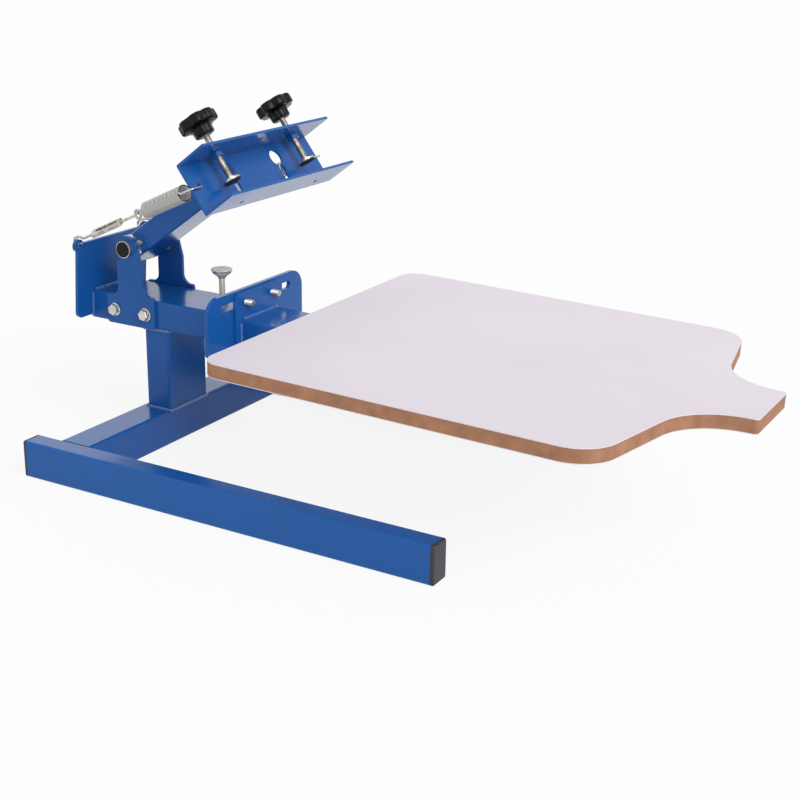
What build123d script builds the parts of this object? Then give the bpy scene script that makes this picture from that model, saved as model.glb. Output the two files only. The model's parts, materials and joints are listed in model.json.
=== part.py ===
from build123d import *
import os
from math import acos, atan2, cos, degrees, pi, radians, sin, sqrt, tan

# Tabletop screen printing press, in millimetres.
# Origin: bench level, under the middle of the cross tube. +X points from the arm's hinge to
# the pallet's neck, +Y along the cross tube, +Z up. "Near" is the -Y side, "far" the +Y side.

# ------------------------------------------------------------------ driving dimensions
# Welded base
TUBE_WALL = 2.0
TUBE_CORNER = 3.0
LEG_LENGTH = 544.0
LEG_WIDTH = 27.0
LEG_HEIGHT = 45.0
LEG_TAIL = 32.0              # leg behind the cross tube
BASE_WIDTH = 427.0           # over both legs
CROSS_WIDTH = 44.0
CAP_RIM = 3.0                # plastic plugs in the leg ends
CAP_BEVEL = 1.5
CAP_PLUG = 14.0
CAP_WALL = 2.0
CAP_FIT = 0.1
CAP_EASE = 0.5               # plug's skirt clear of the tube's round inner corners
POST_DEPTH = 36.0
POST_WIDTH = 75.0
POST_HEIGHT = 102.5

# Beam on top of the post, the plate at each of its ends
BEAM_HEIGHT = 36.0
BEAM_TAIL = 81.5             # beam behind the post, at half its height
BEAM_NOSE = 103.0            # beam in front of the post
PLATE_THICK = 4.0
SPRING_PLATE_LEAN = 4.0      # plate's top leans forward, in degrees
SPRING_PLATE_WIDTH = 131.5
SPRING_PLATE_RISE = 64.6     # plate above the beam's top
SPRING_PLATE_FOOT = 4.5      # plate's lower edge above the beam's underside
SPRING_PLATE_CORNER = 8.0
TAB_RADIUS = 8.0
TAB_INSET = 2.8              # tab centre from the plate's side
TAB_DROP = 2.6               # tab centre below the plate's top edge
HOOK_HOLE_RADIUS = 3.5
HOOK_HOLE_INSET = 4.2
HOOK_HOLE_RISE = 1.0         # hole above the tab's centre
END_PLATE_THICK = 5.0
END_PLATE_WIDTH = 195.0
END_PLATE_RISE = 32.0
END_PLATE_DROP = 1.5
END_PLATE_CORNER = 22.0
END_PLATE_FOOT_CORNER = 6.0
SLOT_LENGTH = 142.0
SLOT_DROP = 15.5             # slot centre below the end plate's top edge
BOLT_RADIUS = 4.0
BOLT_PLAY = 0.4
BOLT_HEAD_RADIUS = 7.3
BOLT_HEAD_HEIGHT = 5.3
BOLT_FLANGE_RADIUS = 8.2
BOLT_FLANGE_THICK = 1.3
NUT_THICK = 6.5
WASHER_RADIUS = 8.0
WASHER_THICK = 1.6
BOLT_STAND_OUT = 3.0

# Two ear plates bolted to the beam, the tubular pivot between them
EAR_THICK = 4.0
EAR_LENGTH = 74.1
EAR_AHEAD = 1.5              # ear's front edge in front of the post's centre
EAR_TOP = 4.5                # front shoulder of the ear above the beam's top
EAR_REAR_TOP = 1.5           # rear shoulder above the beam's top
EAR_STEM = 38.5
EAR_KNEE = 38.5              # where the stem starts to narrow, above the beam's top
EAR_FRONT_FILLET = 12.0
EAR_REAR_FILLET = 10.0
EAR_CORNER = 4.0
EAR_BOLT_SPACING = 48.0
EAR_BOLT_INSET = 12.3
PIVOT_BACK = 38.0            # pivot behind the post's centre
PIVOT_RISE = 61.5            # pivot above the beam's top
PIVOT_HEAD = 16.0            # round top of the ears
SHAFT_RADIUS = 10.5
SHAFT_WALL = 2.0
SHAFT_STAND_OUT = 6.5
RUNNING_FIT = 0.05
PLUG_DEPTH = 10.0
PLUG_STAND_OUT = 1.0
COLLAR_RADIUS = 15.8
COLLAR_GAP = 0.4
COLLAR_SCREW_RADIUS = 2.5
COLLAR_SCREW_HEAD = 3.3
COLLAR_SCREW_HEIGHT = 4.5
COLLAR_SOCKET_RADIUS = 1.7
COLLAR_SCREW_RISE = 28.0     # socket screw turned up from level, in degrees

# Arm and screen clamp, drawn at their raised rest position
LIFT_ANGLE = 37.0            # clamp above its level working position
ARM_DIP = 1.25               # arm tube below the clamp's own direction
ARM_WIDTH = 60.0
ARM_HEIGHT = 29.0
ARM_TAIL = 20.0
SLEEVE_WALL = 1.4
SLEEVE_PLAY = 0.8            # sleeve's ends from the arm tube's walls
CLAMP_REACH = 195.6          # pivot to the back of the clamp's web
CLAMP_TOP = 14.4             # clamp's top above the pivot, square to the arm
CLAMP_HEIGHT = 65.2
CLAMP_DEPTH = 45.7
CLAMP_LENGTH = 248.5
CLAMP_THICK = 3.0
CLAMP_BEND = 2.0
KEYHOLE_OFFSET = 47.3
KEYHOLE_DROP = 19.5          # keyhole's round end below the clamp's top
KEYHOLE_RADIUS = 10.3
KEYHOLE_SLOT = 9.0
KEYHOLE_FOOT = 3.0           # slot's end above the lower flange
ANCHOR_INSET = 14.5          # spring hole from the end of the web
ANCHOR_DROP = 31.0
ANCHOR_RADIUS = 4.0
SIGHT_HOLE_RADIUS = 4.0
SIGHT_HOLE_DEPTH = 29.5
FLANGE_HOLE_RADIUS = 3.0
FLANGE_HOLE_DEPTH = 15.8

# Clamp screws with star knobs and swivel pads
SCREW_SPACING = 150.0
SCREW_DEPTH = 19.9           # screw axis from the back of the web
SCREW_RADIUS = 4.0
SCREW_HOLE_PLAY = 0.6
SCREW_NUT_RADIUS = 7.6
SCREW_NUT_THICK = 6.8
JAW_OPENING = 21.0           # lower flange to the pad's rubber face
PAD_RADIUS = 10.5
PAD_THICK = 2.0
PAD_RUBBER = 1.2
PAD_RIM = 0.5                # pad's edge outside its rubber
PAD_BOSS_RADIUS = 4.8
PAD_BOSS_HEIGHT = 2.6
SPIGOT_RADIUS = 2.5
SPIGOT_LENGTH = 2.4
KNOB_CLEARANCE = 19.5        # clamp's top face to the knob's hub
KNOB_HUB_FOOT = 12.0         # radius of the hub where it starts
KNOB_HUB_RADIUS = 13.5       # radius of the hub under the head
KNOB_HUB_HEIGHT = 11.0
KNOB_HEAD_RADIUS = 24.0
KNOB_HEAD_HEIGHT = 12.0
KNOB_LOBES = 7
KNOB_FLUTE_RADIUS = 4.5      # hollow between two lobes
KNOB_FLUTE_DEPTH = 3.0
KNOB_LOBE_CORNER = 2.8
KNOB_SOCKET = 18.0           # length of screw moulded into the knob
KNOB_EDGE = 2.0

# Stop screw that carries the lowered arm
STOP_AHEAD = 74.8            # stop screw in front of the post's centre
STOP_HEAD_RADIUS = 13.0
STOP_HEAD_EDGE = 2.5
STOP_HEAD_CONE = 6.0
STOP_HEAD_BEVEL = 1.0
STOP_TOP_BEVEL = 0.5
STOP_NECK_RADIUS = 5.0
STOP_THREAD = 20.0           # thread below the beam's top
STOP_CLEARANCE = 0.3         # between the lowered arm and the screw's head

# Pallet bracket and pallet
PALLET_PITCH = 1.35          # pallet slopes down to its neck, in degrees
PALLET_WIDTH = 450.0
PALLET_LENGTH = 548.0
PALLET_BACK = 84.0           # pallet's rear edge from the end plate's face
PALLET_TOP = 194.7           # height of the pallet's rear top edge
BOARD_THICK = 14.5
TOP_LAMINATE = 1.0
UNDER_LAMINATE = 0.8
PALLET_REAR_CORNER = 24.0
PALLET_SHOULDER = 45.0       # round front corners
PALLET_FRONT = 456.0         # where the round front corners end
NECK_RADIUS = 71.0           # hollow sweep into the neck
NECK_WIDTH = 98.0
NECK_TIP = 8.0               # length from the sweep's centre to the neck's end
NECK_CORNER = 5.0
BRACKET_PLATE_WIDTH = 96.0
BRACKET_PLATE_DROP = 2.5     # below the end plate's top edge
BRACKET_PLATE_CORNER = 9.0
BRACKET_BOLT_SPACING = 54.0
BRACKET_BOLT_STAND_OUT = 11.0  # threaded ends in front of the bracket plate
SUPPORT_LENGTH = 400.0
LUG_LENGTH = 40.0
LUG_REACH = 30.0
LUG_FIRST = 70.0             # first pair of lugs from the pallet's rear edge
LUG_SPACING = 190.0
WOODSCREW_RADIUS = 2.4
WOODSCREW_HEAD = 4.6
WOODSCREW_HEAD_HEIGHT = 2.8
WOODSCREW_GRIP = 10.0

# Extension springs with their turnbuckles
SPRING_WIRE = 2.2
SPRING_RADIUS = 8.9          # middle of the wire
SPRING_PITCH = 2.7
SPRING_TURNS = 29
LEAD_BEND = 2.3              # bend between a turn and the straight lead
HOOK_WIRE = 3.2
HOOK_BEND = 4.6              # radius of the hook, middle of the wire
HOOK_SLACK = 1.8             # hook's bend behind its hole
HOOK_TIP = 7.0
HOOK_THROAT = 6.0            # where the hook starts to drop to its shank
TURNBUCKLE_START = 37.0      # from the hook hole, along the spring's line
TURNBUCKLE_LENGTH = 65.0
TURNBUCKLE_ROLL = 40.0       # its outer bar turned down about the spring's line, in degrees
TURNBUCKLE_WIDTH = 9.4
TURNBUCKLE_THICK = 5.0
TURNBUCKLE_BAR = 2.1
TURNBUCKLE_BOSS = 8.0
THREAD_ENGAGED = 16.0        # screw inside each end of the turnbuckle
EYE_CENTRE = 138.5
EYE_RADIUS = 5.0             # middle of the wire
SPLAY = 118.0                # where the spring's line meets the web, from the middle
ANCHOR_GAP = 12.5            # front end of the coil to the web, along the spring's line
LOOP_HALF = 4.0              # half the width of the loop behind the coil
LOOP_LEAD = 2.0              # straight part of the loop's wire at the coil
LOOP_THROAT = 6.5
LOOP_BEND = 2.4
LOOP_GAP = 0.2
ANCHOR_AHEAD = 3.4           # hook's leg in front of the web
ANCHOR_TAIL = 5.0

os.makedirs("parts", exist_ok=True)


def save(builder, name):
    """Label one finished piece and write it to its own file."""
    builder.part.label = name
    export_step(builder.part, f"parts/{name}.step")


def facing_x(x, y=0.0, z=0.0, direction=1, lean=0.0):
    """Plane facing along X at a point, its own Y pointing up, or leaning forward by an angle."""
    facing = (direction * cos(radians(lean)), 0, -direction * sin(radians(lean)))
    return Plane(origin=(x, y, z), x_dir=(0, direction, 0), z_dir=facing)


def side_view(y, x=0.0, z=0.0, tilt=0.0):
    """Plane square to Y, seen from the near side: its own Y points up when tilt is nought."""
    along = (cos(radians(tilt)), 0, sin(radians(tilt)))
    return Plane(origin=(x, y, z), x_dir=along, z_dir=(0, -1, 0))


def level(x, y, z):
    """Horizontal plane at a point."""
    return Plane(origin=(x, y, z), x_dir=(1, 0, 0), z_dir=(0, 0, 1))


def square_tube(width, height):
    """Section of a rounded rectangular steel tube."""
    RectangleRounded(width, height, TUBE_CORNER)
    bore_corner = TUBE_CORNER - TUBE_WALL
    RectangleRounded(width - 2 * TUBE_WALL, height - 2 * TUBE_WALL, bore_corner, mode=Mode.SUBTRACT)


def tube_plug(plane, width, height):
    """Plastic plug with a bevelled face, hollow behind, in the tube end that plane lies on."""
    with BuildSketch(plane) as rim:
        RectangleRounded(width, height, TUBE_CORNER)
    extrude(rim.sketch, amount=CAP_RIM)
    with BuildSketch(plane.offset(CAP_RIM)) as face:
        RectangleRounded(width, height, TUBE_CORNER)
    extrude(face.sketch, amount=CAP_BEVEL, taper=45)
    inside = 2 * (TUBE_WALL + CAP_FIT + CAP_EASE)
    with BuildSketch(plane) as skirt:
        Rectangle(width - inside, height - inside)
        Rectangle(width - inside - 2 * CAP_WALL, height - inside - 2 * CAP_WALL, mode=Mode.SUBTRACT)
    extrude(skirt.sketch, amount=-CAP_PLUG)


def hexagon_block(plane, corner_radius, thickness, bore=0.0):
    """Nut or bolt head standing on a plane."""
    with BuildSketch(plane) as section:
        RegularPolygon(radius=corner_radius, side_count=6)
        if bore:
            Circle(bore, mode=Mode.SUBTRACT)
    extrude(section.sketch, amount=thickness)


def round_block(plane, radius, thickness, bore=0.0):
    """Disc, rod or washer standing on a plane."""
    with BuildSketch(plane) as section:
        Circle(radius)
        if bore:
            Circle(bore, mode=Mode.SUBTRACT)
    extrude(section.sketch, amount=thickness)


def ring_block(plane, radius, wire):
    """Closed wire ring lying in a plane, round its origin."""
    edge = plane.origin + plane.x_dir * radius
    with BuildSketch(Plane(origin=edge, x_dir=plane.x_dir, z_dir=plane.y_dir)) as section:
        Circle(wire / 2)
    revolve(section.sketch, axis=Axis(plane.origin, plane.z_dir))


def wire_block(plane, points, bend, wire):
    """Bent wire along points drawn in a plane."""
    with BuildLine(plane) as route:
        FilletPolyline(*points, radius=bend)
    with BuildSketch(Plane(origin=route.line @ 0, z_dir=route.line % 0)) as section:
        Circle(wire / 2)
    sweep(section.sketch, path=route.line)


# ------------------------------------------------------------------ welded base
leg_middle = (BASE_WIDTH - LEG_WIDTH) / 2
leg_rear = -CROSS_WIDTH / 2 - LEG_TAIL
leg_front = leg_rear + LEG_LENGTH

for side, name in ((-1, "near"), (1, "far")):
    with BuildPart() as leg:
        with BuildSketch(facing_x(leg_rear, side * leg_middle, LEG_HEIGHT / 2)):
            square_tube(LEG_WIDTH, LEG_HEIGHT)
        extrude(amount=LEG_LENGTH)
    save(leg, f"{name}_leg")

with BuildPart() as leg_end_caps:
    for side in (-1, 1):
        for end, outward in ((leg_rear, -1), (leg_front, 1)):
            tube_plug(facing_x(end, side * leg_middle, LEG_HEIGHT / 2, outward), LEG_WIDTH, LEG_HEIGHT)
save(leg_end_caps, "leg_end_caps")

cross_span = BASE_WIDTH - 2 * LEG_WIDTH
with BuildPart() as cross_tube:
    with BuildSketch(Plane(origin=(0, -cross_span / 2, LEG_HEIGHT / 2), x_dir=(1, 0, 0), z_dir=(0, 1, 0))):
        square_tube(CROSS_WIDTH, LEG_HEIGHT)
    extrude(amount=cross_span)
save(cross_tube, "cross_tube")

post_x = (CROSS_WIDTH - POST_DEPTH) / 2
with BuildPart() as post:
    with BuildSketch(level(post_x, 0, LEG_HEIGHT)):
        square_tube(POST_DEPTH, POST_WIDTH)
    extrude(amount=POST_HEIGHT)
save(post, "post")

# ------------------------------------------------------------------ beam and its end plates
beam_under = LEG_HEIGHT + POST_HEIGHT
beam_top = beam_under + BEAM_HEIGHT
beam_rear = post_x - POST_DEPTH / 2 - BEAM_TAIL
beam_front = post_x + POST_DEPTH / 2 + BEAM_NOSE
beam_side = POST_WIDTH / 2
pivot_x = post_x - PIVOT_BACK
pivot_z = beam_top + PIVOT_RISE
stop_x = post_x + STOP_AHEAD
ear_front = post_x + EAR_AHEAD
ear_rear = ear_front - EAR_LENGTH
ear_bolt_x = [ear_rear + EAR_BOLT_INSET, ear_rear + EAR_BOLT_INSET + EAR_BOLT_SPACING]
ear_bolt_z = beam_under + BEAM_HEIGHT / 2
spring_plate_face = facing_x(beam_rear, 0, ear_bolt_z, -1, SPRING_PLATE_LEAN)

with BuildPart() as beam:
    with BuildSketch(facing_x(beam_front, 0, ear_bolt_z, -1)):
        square_tube(POST_WIDTH, BEAM_HEIGHT)
    extrude(amount=beam_front - beam_rear + BEAM_HEIGHT)
    split(bisect_by=spring_plate_face, keep=Keep.BOTTOM)
    with BuildSketch(side_view(0, 0, ear_bolt_z)):
        with Locations(*[(x, 0) for x in ear_bolt_x]):
            Circle(BOLT_RADIUS + RUNNING_FIT)
    extrude(amount=POST_WIDTH, both=True, mode=Mode.SUBTRACT)
    with BuildSketch(level(stop_x, 0, ear_bolt_z)):
        Circle(BOLT_RADIUS + RUNNING_FIT)
    extrude(amount=BEAM_HEIGHT, mode=Mode.SUBTRACT)
save(beam, "beam")

# Heights on the plate are measured from the middle of the beam, along the leaning plate.
spring_plate_top = BEAM_HEIGHT / 2 + SPRING_PLATE_RISE
spring_plate_foot = SPRING_PLATE_FOOT - BEAM_HEIGHT / 2
spring_plate_height = spring_plate_top - spring_plate_foot
tab_y = SPRING_PLATE_WIDTH / 2 - TAB_INSET
tab_up = spring_plate_top - TAB_DROP
hook_hole_y = SPRING_PLATE_WIDTH / 2 - HOOK_HOLE_INSET
hook_hole_up = tab_up + HOOK_HOLE_RISE
with BuildPart() as rear_spring_plate:
    with BuildSketch(spring_plate_face) as outline:
        with Locations((0, spring_plate_foot + spring_plate_height / 2)):
            Rectangle(SPRING_PLATE_WIDTH, spring_plate_height)
        fillet(outline.vertices().group_by(Axis.Y)[0], SPRING_PLATE_CORNER)
        with Locations((-tab_y, tab_up), (tab_y, tab_up)):
            Circle(TAB_RADIUS)
        with Locations((-hook_hole_y, hook_hole_up), (hook_hole_y, hook_hole_up)):
            Circle(HOOK_HOLE_RADIUS, mode=Mode.SUBTRACT)
    extrude(amount=PLATE_THICK)
save(rear_spring_plate, "rear_spring_plate")

end_plate_top = beam_top + END_PLATE_RISE
end_plate_foot = beam_under - END_PLATE_DROP
end_plate_height = end_plate_top - end_plate_foot
end_plate_face = beam_front + END_PLATE_THICK
slot_z = end_plate_top - SLOT_DROP
with BuildPart() as beam_end_plate:
    with BuildSketch(facing_x(beam_front, 0, end_plate_foot + end_plate_height / 2)) as outline:
        Rectangle(END_PLATE_WIDTH, end_plate_height)
        fillet(outline.vertices().group_by(Axis.Y)[-1], END_PLATE_CORNER)
        fillet(outline.vertices().group_by(Axis.Y)[0], END_PLATE_FOOT_CORNER)
    extrude(amount=END_PLATE_THICK)
    with BuildSketch(facing_x(beam_front, 0, slot_z)):
        SlotOverall(SLOT_LENGTH, 2 * (BOLT_RADIUS + BOLT_PLAY))
    extrude(amount=END_PLATE_THICK, mode=Mode.SUBTRACT)
save(beam_end_plate, "beam_end_plate")

# ------------------------------------------------------------------ ears, their bolts, the pivot
front_shoulder = beam_top + EAR_TOP
rear_shoulder = beam_top + EAR_REAR_TOP
stem_rear = pivot_x - PIVOT_HEAD
stem_front = stem_rear + EAR_STEM
knee_z = beam_top + EAR_KNEE
knee_distance = sqrt((stem_front - pivot_x) ** 2 + (knee_z - pivot_z) ** 2)
knee_angle = atan2(knee_z - pivot_z, stem_front - pivot_x) + acos(PIVOT_HEAD / knee_distance)
head_touch = (pivot_x + PIVOT_HEAD * cos(knee_angle), pivot_z + PIVOT_HEAD * sin(knee_angle))

for side, name in ((-1, "near"), (1, "far")):
    with BuildPart() as ear:
        with BuildSketch(side_view(side * beam_side)) as outline:
            with BuildLine():
                Polyline(
                    (ear_rear, beam_under),
                    (ear_front, beam_under),
                    (ear_front, front_shoulder),
                    (stem_front, front_shoulder),
                    (stem_front, knee_z),
                    head_touch,
                    (pivot_x, pivot_z),
                    (stem_rear, pivot_z),
                    (stem_rear, rear_shoulder),
                    (ear_rear, rear_shoulder),
                    close=True,
                )
            make_face()
            for corner, radius in (
                ((ear_rear, beam_under), EAR_CORNER),
                ((ear_front, beam_under), EAR_CORNER),
                ((ear_front, front_shoulder), EAR_CORNER),
                ((stem_front, front_shoulder), EAR_FRONT_FILLET),
                ((stem_rear, rear_shoulder), EAR_REAR_FILLET),
                ((ear_rear, rear_shoulder), EAR_CORNER),
            ):
                fillet(outline.vertices().sort_by_distance(corner)[0], radius)
            with Locations((pivot_x, pivot_z)):
                Circle(PIVOT_HEAD)
                Circle(SHAFT_RADIUS + RUNNING_FIT, mode=Mode.SUBTRACT)
            with Locations(*[(x, ear_bolt_z) for x in ear_bolt_x]):
                Circle(BOLT_RADIUS + RUNNING_FIT, mode=Mode.SUBTRACT)
        extrude(amount=-side * EAR_THICK)
    save(ear, f"{name}_ear")

ear_face = beam_side + EAR_THICK
with BuildPart() as ear_bolts:
    for x in ear_bolt_x:
        seat = side_view(-ear_face, x, ear_bolt_z)
        round_block(seat, BOLT_FLANGE_RADIUS, BOLT_FLANGE_THICK)
        hexagon_block(seat.offset(BOLT_FLANGE_THICK), BOLT_HEAD_RADIUS, BOLT_HEAD_HEIGHT)
        round_block(seat, BOLT_RADIUS, -2 * ear_face - NUT_THICK - BOLT_STAND_OUT)
save(ear_bolts, "ear_bolts")

with BuildPart() as ear_nuts:
    for x in ear_bolt_x:
        far_side = side_view(ear_face, x, ear_bolt_z)
        hexagon_block(far_side, BOLT_HEAD_RADIUS, -NUT_THICK, BOLT_RADIUS + RUNNING_FIT)
save(ear_nuts, "ear_nuts")

shaft_half = ear_face + SHAFT_STAND_OUT
with BuildPart() as pivot_shaft:
    with BuildSketch(side_view(0, pivot_x, pivot_z)):
        Circle(SHAFT_RADIUS)
        Circle(SHAFT_RADIUS - SHAFT_WALL, mode=Mode.SUBTRACT)
    extrude(amount=shaft_half, both=True)
save(pivot_shaft, "pivot_shaft")

with BuildPart() as pivot_plugs:
    for side in (-1, 1):
        plug_face = side_view(side * (shaft_half + PLUG_STAND_OUT), pivot_x, pivot_z)
        plug_length = PLUG_DEPTH + PLUG_STAND_OUT
        round_block(plug_face, SHAFT_RADIUS - SHAFT_WALL - RUNNING_FIT, side * plug_length)
save(pivot_plugs, "pivot_plugs")

arm_side = ARM_WIDTH / 2
collar_width = beam_side - arm_side - COLLAR_GAP - RUNNING_FIT
collar_middle = beam_side - RUNNING_FIT - collar_width / 2
with BuildPart() as pivot_collars:
    for side in (-1, 1):
        with BuildSketch(side_view(side * collar_middle, pivot_x, pivot_z)):
            Circle(COLLAR_RADIUS)
            Circle(SHAFT_RADIUS + RUNNING_FIT, mode=Mode.SUBTRACT)
        extrude(amount=collar_width / 2, both=True)
        with BuildSketch(facing_x(pivot_x, side * collar_middle, pivot_z, 1, -COLLAR_SCREW_RISE)):
            Circle(COLLAR_SCREW_RADIUS + RUNNING_FIT)
        extrude(amount=COLLAR_RADIUS, mode=Mode.SUBTRACT)
save(pivot_collars, "pivot_collars")

with BuildPart() as collar_screws:
    for side in (-1, 1):
        middle = facing_x(pivot_x, side * collar_middle, pivot_z, 1, -COLLAR_SCREW_RISE)
        seat = middle.offset(SHAFT_RADIUS + RUNNING_FIT)
        bore_depth = COLLAR_RADIUS - SHAFT_RADIUS
        round_block(seat, COLLAR_SCREW_RADIUS, bore_depth + COLLAR_SCREW_HEIGHT)
        round_block(seat.offset(bore_depth), COLLAR_SCREW_HEAD, COLLAR_SCREW_HEIGHT)
        with BuildSketch(seat.offset(bore_depth + COLLAR_SCREW_HEIGHT)):
            RegularPolygon(radius=COLLAR_SOCKET_RADIUS, side_count=6)
        extrude(amount=-COLLAR_SCREW_HEIGHT / 2, mode=Mode.SUBTRACT)
save(collar_screws, "collar_screws")

# ------------------------------------------------------------------ arm
def on_clamp(along, y, up):
    """Point given in the clamp's own directions, measured from the pivot."""
    c, s = cos(radians(LIFT_ANGLE)), sin(radians(LIFT_ANGLE))
    return Vector(pivot_x + along * c - up * s, y, pivot_z + along * s + up * c)


clamp_along = on_clamp(1, 0, 0) - on_clamp(0, 0, 0)
clamp_up = on_clamp(0, 0, 1) - on_clamp(0, 0, 0)


def along_clamp(along, y, up):
    """Plane square to the arm's direction: its own X is the press's Y, its own Y the clamp's up."""
    return Plane(origin=on_clamp(along, y, up), x_dir=(0, 1, 0), z_dir=clamp_along)


def across_clamp(along, y, up):
    """Plane parallel to the clamp's flanges, facing up from them."""
    return Plane(origin=on_clamp(along, y, up), x_dir=clamp_along, z_dir=clamp_up)


arm_angle = LIFT_ANGLE - ARM_DIP
arm_direction = (cos(radians(arm_angle)), 0, sin(radians(arm_angle)))
arm_start = Vector(pivot_x, 0, pivot_z) - Vector(*arm_direction) * ARM_TAIL
with BuildPart() as arm_tube:
    with BuildSketch(Plane(origin=arm_start, x_dir=(0, 1, 0), z_dir=arm_direction)):
        square_tube(ARM_WIDTH, ARM_HEIGHT)
    extrude(amount=ARM_TAIL + CLAMP_REACH + ARM_HEIGHT)
    split(bisect_by=along_clamp(CLAMP_REACH, 0, 0), keep=Keep.BOTTOM)
    with BuildSketch(side_view(0, pivot_x, pivot_z)):
        Circle(SHAFT_RADIUS + RUNNING_FIT)
    extrude(amount=ARM_WIDTH, both=True, mode=Mode.SUBTRACT)
save(arm_tube, "arm_tube")

sleeve_radius = SHAFT_RADIUS + RUNNING_FIT + SLEEVE_WALL
sleeve_half = arm_side - TUBE_WALL - SLEEVE_PLAY
with BuildPart() as arm_sleeve:
    with BuildSketch(side_view(0, pivot_x, pivot_z)):
        Circle(sleeve_radius)
        Circle(SHAFT_RADIUS + RUNNING_FIT, mode=Mode.SUBTRACT)
    extrude(amount=sleeve_half, both=True)
save(arm_sleeve, "arm_sleeve")

arm_backwards = (-arm_direction[0], 0, -arm_direction[2])
with BuildPart() as arm_end_cap:
    with BuildSketch(Plane(origin=arm_start, x_dir=(0, 1, 0), z_dir=arm_backwards)):
        RectangleRounded(ARM_WIDTH, ARM_HEIGHT, TUBE_CORNER)
    extrude(amount=CAP_RIM)
    with BuildSketch(Plane(origin=arm_start, x_dir=(0, 1, 0), z_dir=arm_direction)):
        inside = 2 * (TUBE_WALL + CAP_FIT + CAP_EASE)
        Rectangle(ARM_WIDTH - inside, ARM_HEIGHT - inside)
    extrude(amount=ARM_TAIL - sleeve_radius - CAP_WALL)
save(arm_end_cap, "arm_end_cap")

# ------------------------------------------------------------------ screen clamp
clamp_foot = CLAMP_TOP - CLAMP_HEIGHT
clamp_half = CLAMP_LENGTH / 2
screw_y = SCREW_SPACING / 2
anchor_y = clamp_half - ANCHOR_INSET
anchor_up = CLAMP_TOP - ANCHOR_DROP
keyhole_up = CLAMP_TOP - KEYHOLE_DROP
slot_end = clamp_foot + CLAMP_THICK + KEYHOLE_FOOT + KEYHOLE_SLOT / 2

with BuildPart() as clamp_channel:
    with BuildSketch(side_view(0, pivot_x, pivot_z, LIFT_ANGLE)) as section:
        with BuildLine():
            Polyline(
                (CLAMP_REACH, clamp_foot),
                (CLAMP_REACH + CLAMP_DEPTH, clamp_foot),
                (CLAMP_REACH + CLAMP_DEPTH, clamp_foot + CLAMP_THICK),
                (CLAMP_REACH + CLAMP_THICK, clamp_foot + CLAMP_THICK),
                (CLAMP_REACH + CLAMP_THICK, CLAMP_TOP - CLAMP_THICK),
                (CLAMP_REACH + CLAMP_DEPTH, CLAMP_TOP - CLAMP_THICK),
                (CLAMP_REACH + CLAMP_DEPTH, CLAMP_TOP),
                (CLAMP_REACH, CLAMP_TOP),
                close=True,
            )
        make_face()
        fillet(section.vertices().group_by(Axis.X)[0], CLAMP_BEND)
    extrude(amount=clamp_half, both=True)
    with BuildSketch(along_clamp(CLAMP_REACH, 0, 0)):
        for side in (-1, 1):
            with Locations((side * KEYHOLE_OFFSET, keyhole_up)):
                Circle(KEYHOLE_RADIUS)
            with Locations((side * KEYHOLE_OFFSET, (keyhole_up + slot_end) / 2)):
                Rectangle(KEYHOLE_SLOT, keyhole_up - slot_end)
            with Locations((side * KEYHOLE_OFFSET, slot_end)):
                Circle(KEYHOLE_SLOT / 2)
            with Locations((side * anchor_y, anchor_up)):
                Circle(ANCHOR_RADIUS)
    extrude(amount=CLAMP_THICK, mode=Mode.SUBTRACT)
    with BuildSketch(across_clamp(CLAMP_REACH, 0, CLAMP_TOP)):
        with Locations((SCREW_DEPTH, -screw_y), (SCREW_DEPTH, screw_y)):
            Circle(SCREW_RADIUS + SCREW_HOLE_PLAY)
        with Locations((SIGHT_HOLE_DEPTH, 0)):
            Circle(SIGHT_HOLE_RADIUS)
    extrude(amount=-CLAMP_THICK, mode=Mode.SUBTRACT)
    with BuildSketch(across_clamp(CLAMP_REACH, 0, clamp_foot)):
        with Locations((FLANGE_HOLE_DEPTH, -screw_y), (FLANGE_HOLE_DEPTH, screw_y)):
            Circle(FLANGE_HOLE_RADIUS)
    extrude(amount=CLAMP_THICK, mode=Mode.SUBTRACT)
save(clamp_channel, "clamp_channel")

screw_along = CLAMP_REACH + SCREW_DEPTH
nut_top = CLAMP_TOP - CLAMP_THICK
with BuildPart() as clamp_nuts:
    for side in (-1, 1):
        seat = across_clamp(screw_along, side * screw_y, nut_top)
        hexagon_block(seat, SCREW_NUT_RADIUS, -SCREW_NUT_THICK, SCREW_RADIUS + RUNNING_FIT)
save(clamp_nuts, "clamp_nuts")

# ------------------------------------------------------------------ clamp screws, knobs, pads
rubber_foot = clamp_foot + CLAMP_THICK + JAW_OPENING
pad_foot = rubber_foot + PAD_RUBBER
pad_top = pad_foot + PAD_THICK
boss_top = pad_top + PAD_BOSS_HEIGHT
knob_foot = CLAMP_TOP + KNOB_CLEARANCE
knob_shoulder = knob_foot + KNOB_HUB_HEIGHT
screw_top = knob_foot + KNOB_SOCKET
hub_taper = degrees(atan2(KNOB_HUB_RADIUS - KNOB_HUB_FOOT, KNOB_HUB_HEIGHT))

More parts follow.
